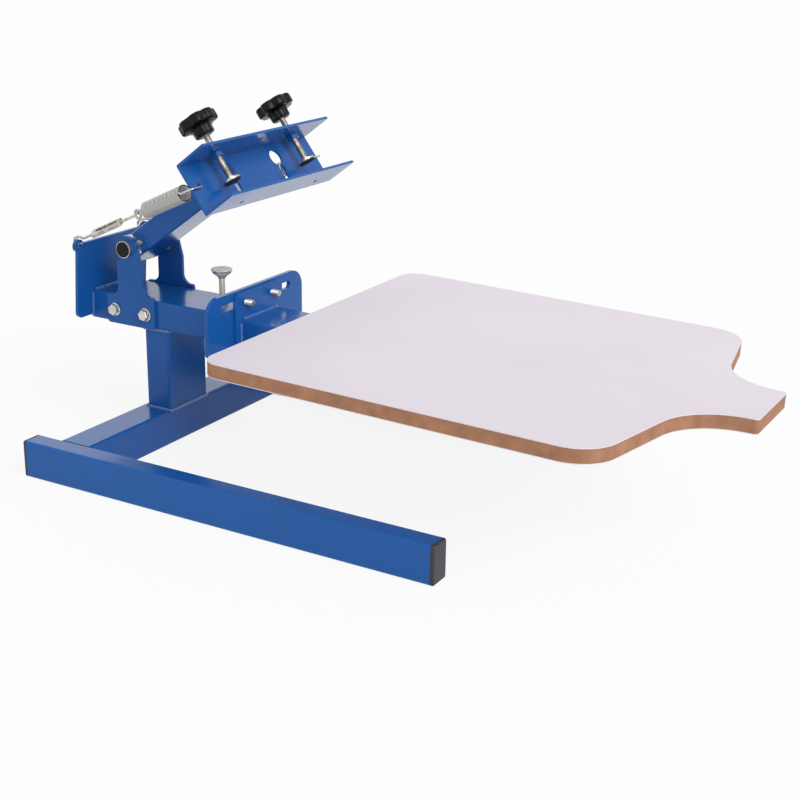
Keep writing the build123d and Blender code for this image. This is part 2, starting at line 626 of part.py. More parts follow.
for side, name in ((-1, "near"), (1, "far")):
    y = side * screw_y
    with BuildPart() as pad_rubber:
        round_block(across_clamp(screw_along, y, rubber_foot), PAD_RADIUS - PAD_RIM, PAD_RUBBER)
    save(pad_rubber, f"{name}_pad_rubber")

    with BuildPart() as pad:
        round_block(across_clamp(screw_along, y, pad_foot), PAD_RADIUS, PAD_THICK)
        round_block(across_clamp(screw_along, y, pad_top), PAD_BOSS_RADIUS, PAD_BOSS_HEIGHT)
        with BuildSketch(across_clamp(screw_along, y, boss_top)):
            Circle(SPIGOT_RADIUS + RUNNING_FIT)
        extrude(amount=-SPIGOT_LENGTH - RUNNING_FIT, mode=Mode.SUBTRACT)
    save(pad, f"{name}_clamp_pad")

    with BuildPart() as screw:
        shank = across_clamp(screw_along, y, boss_top + RUNNING_FIT)
        round_block(shank, SCREW_RADIUS, screw_top - boss_top)
        round_block(shank, SPIGOT_RADIUS, -SPIGOT_LENGTH)
    save(screw, f"{name}_clamp_screw")

    with BuildPart() as knob:
        with BuildSketch(across_clamp(screw_along, y, knob_foot)):
            Circle(KNOB_HUB_FOOT)
        extrude(amount=KNOB_HUB_HEIGHT, taper=-hub_taper)
        with BuildSketch(across_clamp(screw_along, y, knob_shoulder)) as star:
            Circle(KNOB_HEAD_RADIUS)
            with PolarLocations(KNOB_HEAD_RADIUS + KNOB_FLUTE_RADIUS - KNOB_FLUTE_DEPTH, KNOB_LOBES):
                Circle(KNOB_FLUTE_RADIUS, mode=Mode.SUBTRACT)
            fillet(star.vertices(), KNOB_LOBE_CORNER)
        extrude(amount=KNOB_HEAD_HEIGHT)
        crown = knob.faces().sort_by(Axis(on_clamp(0, 0, 0), clamp_up))[-1]
        fillet(crown.edges(), KNOB_EDGE)
        with BuildSketch(across_clamp(screw_along, y, knob_foot)):
            Circle(SCREW_RADIUS + RUNNING_FIT)
        extrude(amount=KNOB_SOCKET + RUNNING_FIT, mode=Mode.SUBTRACT)
    save(knob, f"{name}_clamp_knob")

# ------------------------------------------------------------------ stop screw
# The lowered arm is ARM_DIP below level; its underside sets the height of the screw's head.
stop_reach = stop_x - pivot_x
dip = radians(ARM_DIP)
arm_under = pivot_z - stop_reach * sin(dip) / cos(dip) - ARM_HEIGHT / 2 / cos(dip)
stop_head_top = arm_under - STOP_CLEARANCE - STOP_HEAD_RADIUS * sin(dip)
cone_top = stop_head_top - STOP_HEAD_EDGE
cone_foot = cone_top - STOP_HEAD_CONE
with BuildPart() as stop_screw:
    with BuildSketch(side_view(0, stop_x, 0)):
        with BuildLine():
            Polyline(
                (0, beam_top - STOP_THREAD),
                (BOLT_RADIUS, beam_top - STOP_THREAD),
                (BOLT_RADIUS, cone_foot),
                (STOP_NECK_RADIUS, cone_foot),
                (STOP_HEAD_RADIUS - STOP_HEAD_BEVEL, cone_top),
                (STOP_HEAD_RADIUS, cone_top + STOP_HEAD_BEVEL),
                (STOP_HEAD_RADIUS, stop_head_top - STOP_TOP_BEVEL),
                (STOP_HEAD_RADIUS - STOP_TOP_BEVEL, stop_head_top),
                (0, stop_head_top),
                close=True,
            )
        make_face()
    revolve(axis=Axis((stop_x, 0, 0), (0, 0, 1)))
save(stop_screw, "stop_screw")

with BuildPart() as stop_nut:
    hexagon_block(level(stop_x, 0, beam_top), BOLT_HEAD_RADIUS, NUT_THICK, BOLT_RADIUS + RUNNING_FIT)
save(stop_nut, "stop_nut")

# ------------------------------------------------------------------ pallet bracket
pitch = radians(PALLET_PITCH)
pallet_rear = end_plate_face + PALLET_BACK
pallet_thick = TOP_LAMINATE + BOARD_THICK + UNDER_LAMINATE


def on_pallet(along, y, depth):
    """Plane parallel to the pallet's face, at a depth below it, measured from its rear edge."""
    x = pallet_rear + along * cos(pitch) - depth * sin(pitch)
    z = PALLET_TOP - along * sin(pitch) - depth * cos(pitch)
    return Plane(origin=(x, y, z), x_dir=(cos(pitch), 0, -sin(pitch)), z_dir=(sin(pitch), 0, cos(pitch)))


bracket_plate_top = end_plate_top - BRACKET_PLATE_DROP
bracket_plate_height = bracket_plate_top - end_plate_foot
bracket_face = end_plate_face + PLATE_THICK
bolt_y = BRACKET_BOLT_SPACING / 2
with BuildPart() as bracket_plate:
    with BuildSketch(facing_x(end_plate_face, 0, end_plate_foot + bracket_plate_height / 2)) as outline:
        Rectangle(BRACKET_PLATE_WIDTH, bracket_plate_height)
        fillet(outline.vertices().group_by(Axis.Y)[-1], BRACKET_PLATE_CORNER)
    extrude(amount=PLATE_THICK)
    with BuildSketch(facing_x(end_plate_face, 0, slot_z)):
        with Locations((-bolt_y, 0), (bolt_y, 0)):
            Circle(BOLT_RADIUS + RUNNING_FIT)
    extrude(amount=PLATE_THICK, mode=Mode.SUBTRACT)
save(bracket_plate, "bracket_plate")

with BuildPart() as bracket_bolts:
    for y in (-bolt_y, bolt_y):
        seat = facing_x(beam_front - WASHER_THICK, y, slot_z, -1)
        hexagon_block(seat, BOLT_HEAD_RADIUS, BOLT_HEAD_HEIGHT)
        grip = WASHER_THICK + END_PLATE_THICK + PLATE_THICK
        round_block(seat, BOLT_RADIUS, -grip - BRACKET_BOLT_STAND_OUT)
save(bracket_bolts, "bracket_bolts")

with BuildPart() as bracket_washers:
    for y in (-bolt_y, bolt_y):
        seat = facing_x(beam_front, y, slot_z, -1)
        round_block(seat, WASHER_RADIUS, WASHER_THICK, BOLT_RADIUS + RUNNING_FIT)
save(bracket_washers, "bracket_washers")

support_middle = pallet_thick + BEAM_HEIGHT / 2
support_front = SUPPORT_LENGTH - PALLET_BACK
with BuildPart() as support_tube:
    end = on_pallet(support_front, 0, support_middle)
    with BuildSketch(Plane(origin=end.origin, x_dir=(0, 1, 0), z_dir=end.x_dir)):
        square_tube(POST_WIDTH, BEAM_HEIGHT)
    extrude(amount=-SUPPORT_LENGTH - BEAM_HEIGHT)
    split(bisect_by=facing_x(bracket_face), keep=Keep.TOP)
save(support_tube, "support_tube")

with BuildPart() as support_end_cap:
    end = on_pallet(support_front, 0, support_middle)
    tube_plug(Plane(origin=end.origin, x_dir=(0, 1, 0), z_dir=end.x_dir), POST_WIDTH, BEAM_HEIGHT)
save(support_end_cap, "support_end_cap")

lug_along = [LUG_FIRST, LUG_FIRST + LUG_SPACING]
lug_y = beam_side + LUG_REACH / 2
with BuildPart() as pallet_lugs:
    for along in lug_along:
        for side in (-1, 1):
            with BuildSketch(on_pallet(along, side * lug_y, pallet_thick)):
                Rectangle(LUG_LENGTH, LUG_REACH)
                Circle(WOODSCREW_RADIUS + RUNNING_FIT, mode=Mode.SUBTRACT)
            extrude(amount=-PLATE_THICK)
save(pallet_lugs, "pallet_lugs")

with BuildPart() as pallet_screws:
    for along in lug_along:
        for side in (-1, 1):
            seat = on_pallet(along, side * lug_y, pallet_thick + PLATE_THICK)
            round_block(seat, WOODSCREW_HEAD, -WOODSCREW_HEAD_HEIGHT)
            round_block(seat, WOODSCREW_RADIUS, PLATE_THICK + WOODSCREW_GRIP)
save(pallet_screws, "pallet_screws")

# ------------------------------------------------------------------ pallet
half_width = PALLET_WIDTH / 2
shoulder_u = PALLET_FRONT - PALLET_SHOULDER
shoulder_v = half_width - PALLET_SHOULDER
neck_u = PALLET_LENGTH - NECK_TIP
neck_half = NECK_WIDTH / 2
neck_v = neck_half + NECK_RADIUS
front_gap = sqrt((neck_u - shoulder_u) ** 2 + (shoulder_v - neck_v) ** 2)
front_slope = atan2(neck_v - shoulder_v, neck_u - shoulder_u)
front_turn = front_slope + acos((PALLET_SHOULDER + NECK_RADIUS) / front_gap)


def pallet_outline():
    """Pallet seen from above: square back, round shoulders, hollow sweeps into a short neck."""
    shoulder_end = (
        shoulder_u + PALLET_SHOULDER * cos(front_turn),
        shoulder_v + PALLET_SHOULDER * sin(front_turn),
    )
    sweep_start = (neck_u - NECK_RADIUS * cos(front_turn), neck_v - NECK_RADIUS * sin(front_turn))
    with BuildLine() as half:
        rear = Line((0, 0), (0, half_width))
        flank = Line(rear @ 1, (shoulder_u, half_width))
        shoulder = TangentArc(flank @ 1, shoulder_end, tangent=(1, 0))
        front = Line(shoulder @ 1, sweep_start)
        hollow = TangentArc(front @ 1, (neck_u, neck_half), tangent=front % 1)
        neck = Line(hollow @ 1, (PALLET_LENGTH, neck_half))
        Line(neck @ 1, (PALLET_LENGTH, 0))
        mirror(about=Plane.XZ)
    make_face(half.edges())


def pallet_layer(depth, thickness, screw_depth):
    """One layer of the pallet, with the pilot holes of the wood screws up to screw_depth."""
    with BuildSketch(on_pallet(0, 0, depth)) as layer:
        pallet_outline()
        for side in (-1, 1):
            fillet(layer.vertices().sort_by_distance((0, side * half_width))[0], PALLET_REAR_CORNER)
            fillet(layer.vertices().sort_by_distance((PALLET_LENGTH, side * neck_half))[0], NECK_CORNER)
    extrude(layer.sketch, amount=-thickness)
    if screw_depth:
        with BuildSketch(on_pallet(0, 0, depth + thickness)) as pilots:
            for along in lug_along:
                with Locations((along, -lug_y), (along, lug_y)):
                    Circle(WOODSCREW_RADIUS + RUNNING_FIT)
        extrude(pilots.sketch, amount=screw_depth, mode=Mode.SUBTRACT)


with BuildPart() as pallet_laminate:
    pallet_layer(0, TOP_LAMINATE, 0)
save(pallet_laminate, "pallet_laminate")

with BuildPart() as pallet_board:
    pallet_layer(TOP_LAMINATE, BOARD_THICK, WOODSCREW_GRIP - UNDER_LAMINATE + RUNNING_FIT)
save(pallet_board, "pallet_board")

with BuildPart() as pallet_backing:
    pallet_layer(TOP_LAMINATE + BOARD_THICK, UNDER_LAMINATE, UNDER_LAMINATE)
save(pallet_backing, "pallet_backing")


# ------------------------------------------------------------------ springs and turnbuckles
# Seen from the side, each spring's line runs over its hook hole at the hook's bend radius, to
# the anchor hole in the clamp's web. Seen from above it splays out to the web's end.
hook_hole = spring_plate_face.from_local_coords(Vector(0, hook_hole_up, PLATE_THICK / 2))
anchor_point = on_clamp(CLAMP_REACH, 0, anchor_up)
reach_x = anchor_point.X - hook_hole.X
reach_z = anchor_point.Z - hook_hole.Z
reach = sqrt(reach_x**2 + reach_z**2)
slope = atan2(reach_z, reach_x) - atan2(HOOK_BEND, sqrt(reach**2 - HOOK_BEND**2))
line_length = sqrt(reach**2 - HOOK_BEND**2)
planar = Vector(cos(slope), 0, sin(slope))
upward = Vector(-sin(slope), 0, cos(slope))
line_foot = anchor_point - planar * line_length
splay_angle = atan2(SPLAY - hook_hole_y, line_length)


def half_turn_arcs(start, start_dir, end, end_dir):
    """Two tangent arcs from one point of a helix to a later one."""
    span = end - start
    both = start_dir + end_dir
    a = both.dot(both) - 4
    b = -2 * span.dot(both)
    c = span.dot(span)
    arm = (-b - sqrt(b * b - 4 * a * c)) / (2 * a)
    first_corner = start + start_dir * arm
    second_corner = end - end_dir * arm
    middle = (first_corner + second_corner) / 2
    TangentArc(start, middle, tangent=start_dir)
    TangentArc(middle, end, tangent=(second_corner - first_corner).normalized())


spring_lead = LEAD_BEND + SPRING_WIRE
coil_length = SPRING_TURNS * SPRING_PITCH + 2 * spring_lead
climb = atan2(SPRING_PITCH, 2 * pi * SPRING_RADIUS)
lead_offset = LEAD_BEND * (1 - sin(climb))
lead_radius = sqrt(SPRING_RADIUS**2 + lead_offset**2)
lead_turn = atan2(lead_offset, SPRING_RADIUS)


def coil_point(turn):
    """Point on the coil's middle line, its direction there and its tangent round the coil."""
    angle = 2 * pi * turn
    along = spring_lead + turn * SPRING_PITCH
    place = Vector(along, SPRING_RADIUS * cos(angle), SPRING_RADIUS * sin(angle))
    around = Vector(0, -sin(angle), cos(angle))
    return place, Vector(1, 0, 0) * sin(climb) + around * cos(climb), around


def coil_route():
    """Middle line of one spring along local X: straight lead, bend, turns, bend, lead."""
    quarter = pi / 2 - climb
    place, _, around = coil_point(0)
    swing = Vector(1, 0, 0) * LEAD_BEND * sin(quarter) + around * LEAD_BEND * (1 - cos(quarter))
    outer = place - swing
    Line((0, outer.Y, outer.Z), outer)
    TangentArc(outer, place, tangent=(1, 0, 0))
    for half in range(2 * SPRING_TURNS):
        here, here_dir, _ = coil_point(half / 2)
        there, there_dir, _ = coil_point(half / 2 + 0.5)
        half_turn_arcs(here, here_dir, there, there_dir)
    place, heading, around = coil_point(SPRING_TURNS)
    swing = Vector(1, 0, 0) * LEAD_BEND * sin(quarter) + around * LEAD_BEND * (1 - cos(quarter))
    outer = place + swing
    TangentArc(place, outer, tangent=heading)
    Line(outer, (coil_length, outer.Y, outer.Z))


def least_gap(route):
    """Least distance between the wire's surfaces about one turn apart, taken on points."""
    points = [route.position_at(t / (SPRING_TURNS * 60)) for t in range(SPRING_TURNS * 60 + 1)]
    gaps = [
        (points[i] - points[j]).length
        for i in range(len(points))
        for j in range(i + 40, min(i + 80, len(points)))
    ]
    return min(gaps) - SPRING_WIRE


for side, name in ((-1, "near"), (1, "far")):
    foot = line_foot + Vector(0, side * hook_hole_y, 0)
    splay = planar * cos(splay_angle) + Vector(0, side * sin(splay_angle), 0)
    outward = planar * -sin(splay_angle) + Vector(0, side * cos(splay_angle), 0)
    line_span = line_length / cos(splay_angle)
    upright = Plane(origin=foot, x_dir=splay, z_dir=splay.cross(upward))
    roll = radians(TURNBUCKLE_ROLL)
    outer_bar = outward * cos(roll) - upward * sin(roll)
    rolled = Plane(origin=foot, x_dir=splay, z_dir=splay.cross(outer_bar))
    web = Plane(origin=line_foot + planar * line_length, x_dir=planar, z_dir=planar.cross(Vector(0, side, 0)))
    coil_at = line_span - ANCHOR_GAP - coil_length
    coil_front = foot + splay * (coil_at + coil_length)

    turnbuckle_end = TURNBUCKLE_START + TURNBUCKLE_LENGTH
    with BuildPart() as hook:
        hook_rear = -HOOK_SLACK - HOOK_BEND
        hook_points = [
            (HOOK_TIP, -HOOK_BEND),
            (hook_rear, -HOOK_BEND),
            (hook_rear, HOOK_BEND),
            (HOOK_THROAT, HOOK_BEND),
            (HOOK_THROAT + 2 * HOOK_BEND, 0),
            (TURNBUCKLE_START + THREAD_ENGAGED, 0),
        ]
        wire_block(upright, hook_points, HOOK_BEND - RUNNING_FIT, HOOK_WIRE)
    save(hook, f"{name}_turnbuckle_hook")

    with BuildPart() as turnbuckle:
        window = TURNBUCKLE_LENGTH - 2 * TURNBUCKLE_BOSS
        with BuildSketch(rolled) as frame_top:
            with Locations((TURNBUCKLE_START + TURNBUCKLE_LENGTH / 2, 0)):
                RectangleRounded(TURNBUCKLE_LENGTH, TURNBUCKLE_WIDTH, TURNBUCKLE_BAR)
                Rectangle(window, TURNBUCKLE_WIDTH - 2 * TURNBUCKLE_BAR, mode=Mode.SUBTRACT)
        extrude(frame_top.sketch, amount=TURNBUCKLE_THICK / 2, both=True)
        with BuildSketch(Plane(origin=foot + splay * TURNBUCKLE_START, z_dir=splay)) as thread:
            Circle(HOOK_WIRE / 2 + RUNNING_FIT)
        extrude(thread.sketch, amount=TURNBUCKLE_LENGTH, mode=Mode.SUBTRACT)
    save(turnbuckle, f"{name}_turnbuckle")

    with BuildPart() as eye:
        wire_start = turnbuckle_end - THREAD_ENGAGED
        with BuildSketch(Plane(origin=foot + splay * wire_start, z_dir=splay)) as shank:
            Circle(HOOK_WIRE / 2)
        extrude(shank.sketch, amount=EYE_CENTRE - EYE_RADIUS - wire_start)
        eye_plane = Plane(origin=foot + splay * EYE_CENTRE, x_dir=splay, z_dir=upright.z_dir)
        ring_block(eye_plane, EYE_RADIUS, HOOK_WIRE)
    save(eye, f"{name}_turnbuckle_eye")

    # The coil is turned so that its front lead lies on the outer side, in the anchor hook's plane.
    across = splay.cross(outward)
    coil_up = across * cos(lead_turn) + outward * sin(lead_turn)
    coil_frame = Plane(origin=foot + splay * coil_at, x_dir=splay, z_dir=coil_up)
    with BuildPart() as spring:
        with BuildLine() as route:
            coil_route()
        middle_line = route.wires()[0].moved(coil_frame.location)
        with BuildSketch(Plane(origin=middle_line @ 0, z_dir=splay)) as section:
            Circle(SPRING_WIRE / 2)
        sweep(section.sketch, path=middle_line)
    save(spring, f"{name}_spring")
    print(f"{name} spring: {SPRING_TURNS} turns, least gap {least_gap(middle_line):.2f} mm")

    with BuildPart() as loop:
        loop_out = outward * cos(2 * lead_turn) - across * sin(2 * lead_turn)
        loop_frame = Plane(origin=foot + splay * coil_at, x_dir=splay, z_dir=splay.cross(loop_out))
        bearing = EYE_CENTRE + EYE_RADIUS - HOOK_WIRE / 2 - SPRING_WIRE / 2 - LOOP_GAP - coil_at
        loop_points = [
            (0, lead_radius),
            (-LOOP_LEAD, lead_radius),
            (-LOOP_THROAT, LOOP_HALF),
            (bearing, LOOP_HALF),
            (bearing, -LOOP_HALF),
            (-LOOP_THROAT, -LOOP_HALF),
        ]
        wire_block(loop_frame, loop_points, LOOP_BEND, SPRING_WIRE)
    save(loop, f"{name}_spring_loop")

    with BuildPart() as anchor_hook:
        rise = lead_radius / cos(splay_angle)
        start = -ANCHOR_GAP * cos(splay_angle) - lead_radius * sin(splay_angle)
        ahead = CLAMP_THICK + ANCHOR_AHEAD
        anchor_points = [
            (start, SPLAY + rise + start * tan(splay_angle)),
            (ahead, SPLAY + rise + ahead * tan(splay_angle)),
            (ahead, anchor_y),
            (-ANCHOR_TAIL, anchor_y),
        ]
        wire_block(web, anchor_points, LOOP_BEND, SPRING_WIRE)
    save(anchor_hook, f"{name}_anchor_hook")

print(f"pivot {pivot_x:.2f}, {pivot_z:.2f}")
print(f"hook hole {hook_hole.X:.3f}, {hook_hole_y:.2f}, {hook_hole.Z:.3f}")
print(f"coil starts {coil_at:.2f} from the hook hole, its front end is at height {coil_front.Z:.2f}")
print(f"anchor {anchor_point.X:.3f}, {anchor_point.Z:.3f}, line {line_length:.3f}, slope {slope:.5f}")
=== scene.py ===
import json
from math import atan2, cos, pi, radians, sin, sqrt

import bpy
from mathutils import Matrix, Vector


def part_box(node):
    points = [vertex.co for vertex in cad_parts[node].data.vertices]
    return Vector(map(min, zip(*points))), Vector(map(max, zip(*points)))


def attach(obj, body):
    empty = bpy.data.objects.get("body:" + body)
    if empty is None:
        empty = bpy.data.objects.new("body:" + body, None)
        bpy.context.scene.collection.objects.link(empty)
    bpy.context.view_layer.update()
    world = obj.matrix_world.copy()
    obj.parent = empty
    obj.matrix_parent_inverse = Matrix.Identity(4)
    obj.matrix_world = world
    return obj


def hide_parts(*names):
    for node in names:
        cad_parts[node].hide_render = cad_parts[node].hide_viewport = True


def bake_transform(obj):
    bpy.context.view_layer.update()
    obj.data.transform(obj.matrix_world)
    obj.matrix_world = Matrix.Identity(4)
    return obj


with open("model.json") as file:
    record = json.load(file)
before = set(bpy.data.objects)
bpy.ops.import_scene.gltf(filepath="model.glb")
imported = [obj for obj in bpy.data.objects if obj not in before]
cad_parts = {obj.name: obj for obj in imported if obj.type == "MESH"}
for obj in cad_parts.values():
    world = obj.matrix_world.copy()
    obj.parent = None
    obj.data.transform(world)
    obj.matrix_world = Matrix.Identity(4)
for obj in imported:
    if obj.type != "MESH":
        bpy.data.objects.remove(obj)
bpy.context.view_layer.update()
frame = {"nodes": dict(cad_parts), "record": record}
nodes = frame["nodes"]

# ---------------------------------------------------------------- studio
# A white sweep seen from the operator's side of the bench, with even light all round and one
# large soft lamp above and in front. The floor is white matt paper with a faint soft shadow.
CAMERA_PLACE = (1.115156, -1.376402, 0.664012)
CAMERA_TURN = (radians(70.6006), radians(-0.9003), radians(30.0019))
CAMERA_LENS = 65.25
CAMERA_FILM = 36.0
CAMERA_SIGHT = 100.0
WHITE = (1.0, 1.0, 1.0, 1.0)
WORLD_LEVEL = 0.58
LAMP_PLACE = (1.0, -1.5, 3.0)
LAMP_TURN = (radians(18.0), radians(52.0), 0.0)
LAMP_LEVEL = 2.0
LAMP_SPREAD = radians(40.0)
PAPER_SIZE = 80.0
PAPER_WHITE = (0.93, 0.93, 0.93, 1.0)
PAPER_ROUGHNESS = 0.9
PAPER_SHINE = 0.1
PAPER_GLOW = 0.86

bpy.ops.object.camera_add(location=CAMERA_PLACE, rotation=CAMERA_TURN)
camera = bpy.context.object
camera.data.lens = CAMERA_LENS
camera.data.sensor_width = CAMERA_FILM
camera.data.clip_end = CAMERA_SIGHT
bpy.context.scene.camera = camera
bpy.context.scene.view_settings.view_transform = "Standard"


def new_material(name):
    """Material, its node tree and its Principled shader."""
    material = bpy.data.materials.new(name)
    material.use_nodes = True
    tree = material.node_tree
    return material, tree, tree.nodes["Principled BSDF"]


def wire(tree, source, target):
    """Link two sockets."""
    tree.links.new(source, target)


def seen_directly(tree):
    """Mask of what the eye sees straight, mirrored or through glass."""
    light_path = tree.nodes.new("ShaderNodeLightPath")
    mask = light_path.outputs["Is Camera Ray"]
    for kind in ("Is Glossy Ray", "Is Transmission Ray"):
        either = tree.nodes.new("ShaderNodeMath")
        either.operation = "MAXIMUM"
        wire(tree, mask, either.inputs[0])
        wire(tree, light_path.outputs[kind], either.inputs[1])
        mask = either.outputs[0]
    return mask


world = bpy.data.worlds.new("white studio")
bpy.context.scene.world = world
world.use_nodes = True
sky = world.node_tree
sky_light = sky.nodes["Background"]
sky_light.inputs["Color"].default_value = WHITE
sky_light.inputs["Strength"].default_value = WORLD_LEVEL
sky_seen = sky.nodes.new("ShaderNodeBackground")
sky_seen.inputs["Color"].default_value = WHITE
sky_seen.inputs["Strength"].default_value = 1.0
sky_mix = sky.nodes.new("ShaderNodeMixShader")
wire(sky, seen_directly(sky), sky_mix.inputs["Fac"])
wire(sky, sky_light.outputs["Background"], sky_mix.inputs[1])
wire(sky, sky_seen.outputs["Background"], sky_mix.inputs[2])
wire(sky, sky_mix.outputs["Shader"], sky.nodes["World Output"].inputs["Surface"])

bpy.ops.object.select_all(action="DESELECT")
bpy.ops.mesh.primitive_plane_add(size=PAPER_SIZE)
floor = bpy.context.object
floor.name = "paper_floor"
paper, paper_tree, paper_shader = new_material("white paper")
paper_shader.inputs["Base Color"].default_value = PAPER_WHITE
paper_shader.inputs["Roughness"].default_value = PAPER_ROUGHNESS
paper_shader.inputs["Specular IOR Level"].default_value = PAPER_SHINE
paper_glow = paper_tree.nodes.new("ShaderNodeEmission")
paper_seen = paper_tree.nodes.new("ShaderNodeMath")
paper_seen.operation = "MULTIPLY"
paper_seen.inputs[1].default_value = PAPER_GLOW
paper_mix = paper_tree.nodes.new("ShaderNodeMixShader")
wire(paper_tree, seen_directly(paper_tree), paper_seen.inputs[0])
wire(paper_tree, paper_seen.outputs[0], paper_mix.inputs["Fac"])
wire(paper_tree, paper_shader.outputs["BSDF"], paper_mix.inputs[1])
wire(paper_tree, paper_glow.outputs["Emission"], paper_mix.inputs[2])
paper_surface = paper_tree.nodes["Material Output"].inputs["Surface"]
wire(paper_tree, paper_mix.outputs["Shader"], paper_surface)
floor.data.materials.append(paper)

bpy.ops.object.light_add(type="SUN", location=LAMP_PLACE, rotation=LAMP_TURN)
lamp = bpy.context.object
lamp.name = "soft_lamp"
lamp.data.energy = LAMP_LEVEL
lamp.data.angle = LAMP_SPREAD


# ---------------------------------------------------------------- blue enamel on the steel work
# Every welded piece is stoved with one coat of glossy mid-blue enamel. It lies a little uneven,
# rounds over the edges of the sheet, and mirrors the white room only at a shallow angle.
ENAMEL_BLUE = (0.008, 0.099, 0.366, 1.0)
ENAMEL_SHADE = (0.007, 0.090, 0.334, 1.0)
ENAMEL_EDGE_ROUND = 0.0008
ENAMEL_PITS = 0.00003
ENAMEL_LEVELS = (("Specular IOR Level", 0.26), ("Coat IOR", 1.55), ("Coat Roughness", 0.12))
ENAMEL_MIRROR_FROM = 0.44
ENAMEL_MIRROR_FULL = 0.66
ENAMEL_MIRROR = 0.5
EDGE_SAMPLES = 4


def build_unevenness():
    """Group: soft blotches of two sizes, from nought to one, for colour, gloss and dents."""
    group = bpy.data.node_groups.new("unevenness", "ShaderNodeTree")
    group.interface.new_socket("Coarse", in_out="INPUT", socket_type="NodeSocketFloat")
    group.interface.new_socket("Fine", in_out="INPUT", socket_type="NodeSocketFloat")
    group.interface.new_socket("Blotch", in_out="OUTPUT", socket_type="NodeSocketFloat")
    group.interface.new_socket("Grain", in_out="OUTPUT", socket_type="NodeSocketFloat")
    source = group.nodes.new("NodeGroupInput")
    result = group.nodes.new("NodeGroupOutput")
    place = group.nodes.new("ShaderNodeTexCoord")
    for size, detail, output in (("Coarse", 3.0, "Blotch"), ("Fine", 2.0, "Grain")):
        noise = group.nodes.new("ShaderNodeTexNoise")
        noise.inputs["Detail"].default_value = detail
        wire(group, place.outputs["Object"], noise.inputs["Vector"])
        wire(group, source.outputs[size], noise.inputs["Scale"])
        wire(group, noise.outputs["Fac"], result.inputs[output])
    return group


unevenness = build_unevenness()


def add_unevenness(tree, coarse, fine):
    """Place the blotches in a material with their own scales."""
    node = tree.nodes.new("ShaderNodeGroup")
    node.node_tree = unevenness
    node.inputs["Coarse"].default_value = coarse
    node.inputs["Fine"].default_value = fine
    return node


def ramp(tree, mask, low, high, start=0.3, end=0.7):
    """Blend two colours by a mask."""
    node = tree.nodes.new("ShaderNodeValToRGB")
    node.color_ramp.elements[0].position = start
    node.color_ramp.elements[0].color = low
    node.color_ramp.elements[1].position = end
    node.color_ramp.elements[1].color = high
    wire(tree, mask, node.inputs["Fac"])
    return node.outputs["Color"]


def spread(tree, mask, low, high, start=0.3, end=0.7):
    """Turn a mask into a number between two values."""
    node = tree.nodes.new("ShaderNodeMapRange")
    node.inputs["From Min"].default_value = start
    node.inputs["From Max"].default_value = end
    node.inputs["To Min"].default_value = low
    node.inputs["To Max"].default_value = high
    wire(tree, mask, node.inputs["Value"])
    return node.outputs["Result"]


def dent(tree, shader, height, depth, edge_round=0.0):
    """Give a shader small dents from a height, and round edges where asked."""
    bump = tree.nodes.new("ShaderNodeBump")
    bump.inputs["Strength"].default_value = 1.0
    bump.inputs["Distance"].default_value = depth
    wire(tree, height, bump.inputs["Height"])
    if edge_round:
        edge = tree.nodes.new("ShaderNodeBevel")
        edge.samples = EDGE_SAMPLES
        edge.inputs["Radius"].default_value = edge_round
        wire(tree, edge.outputs["Normal"], bump.inputs["Normal"])
    wire(tree, bump.outputs["Normal"], shader.inputs["Normal"])


def make_finish(name, scales, colours, roughness, pits, edge_round=0.0, rough_by="Blotch", levels=()):
    """Material whose colour and gloss drift in soft blotches, with fine pits and round edges."""
    material, tree, shader = new_material(name)
    drift = add_unevenness(tree, *scales)
    wire(tree, ramp(tree, drift.outputs["Blotch"], *colours), shader.inputs["Base Color"])
    wire(tree, spread(tree, drift.outputs[rough_by], *roughness), shader.inputs["Roughness"])
    dent(tree, shader, drift.outputs["Grain"], pits, edge_round)
    for socket, level in levels:
        shader.inputs[socket].default_value = level
    return material


enamel = make_finish(
    "blue enamel",
    scales=(14.0, 240.0),
    colours=(ENAMEL_SHADE, ENAMEL_BLUE),
    roughness=(0.3, 0.22),
    pits=ENAMEL_PITS,
    edge_round=ENAMEL_EDGE_ROUND,
    levels=ENAMEL_LEVELS,
)
enamel_tree = enamel.node_tree
shallow = enamel_tree.nodes.new("ShaderNodeLayerWeight")
shallow.inputs["Blend"].default_value = 0.5
mirror = spread(
    enamel_tree, shallow.outputs["Facing"], 0.0, ENAMEL_MIRROR, ENAMEL_MIRROR_FROM, ENAMEL_MIRROR_FULL
)
wire(enamel_tree, mirror, enamel_tree.nodes["Principled BSDF"].inputs["Coat Weight"])


def dress(material, *names):
    """Give the solid pieces a material."""
    for name in names:
        mesh = nodes[name].data
        mesh.materials.clear()
        mesh.materials.append(material)


dress(
    enamel,
    "near_leg", "far_leg", "cross_tube", "post", "beam", "rear_spring_plate", "beam_end_plate",
    "near_ear", "far_ear", "arm_tube", "arm_sleeve", "clamp_channel", "bracket_plate",
    "support_tube", "pallet_lugs",
)

# ---------------------------------------------------------------- weld beads
# The base, the beam's plates, the arm and the bracket are joined with thin rippled fillet
# welds, painted over. Only the tops of the leg joints are ground flush.
BEAD_RADIUS = 0.0022
BEAD_STEP = 0.0011
BEAD_RIPPLE = 0.22
RIPPLE_EVERY = 3.0
BEAD_BLUE = (0.02, 0.12, 0.40, 1.0)
BEAD_PITS = 0.0003
TUBE_ROUND = 0.003
PLATE_LEAN = radians(4.0)
PLATE_WELD_INSET = 0.001
SUPPORT_HEIGHT = 0.036

bead_enamel = make_finish(
    "enamel on the welds",
    scales=(300.0, 1100.0),
    colours=(ENAMEL_SHADE, BEAD_BLUE),
    roughness=(0.22, 0.12),
    pits=BEAD_PITS,
    levels=(("Coat Weight", 0.8), ("Coat IOR", 1.6)),
)


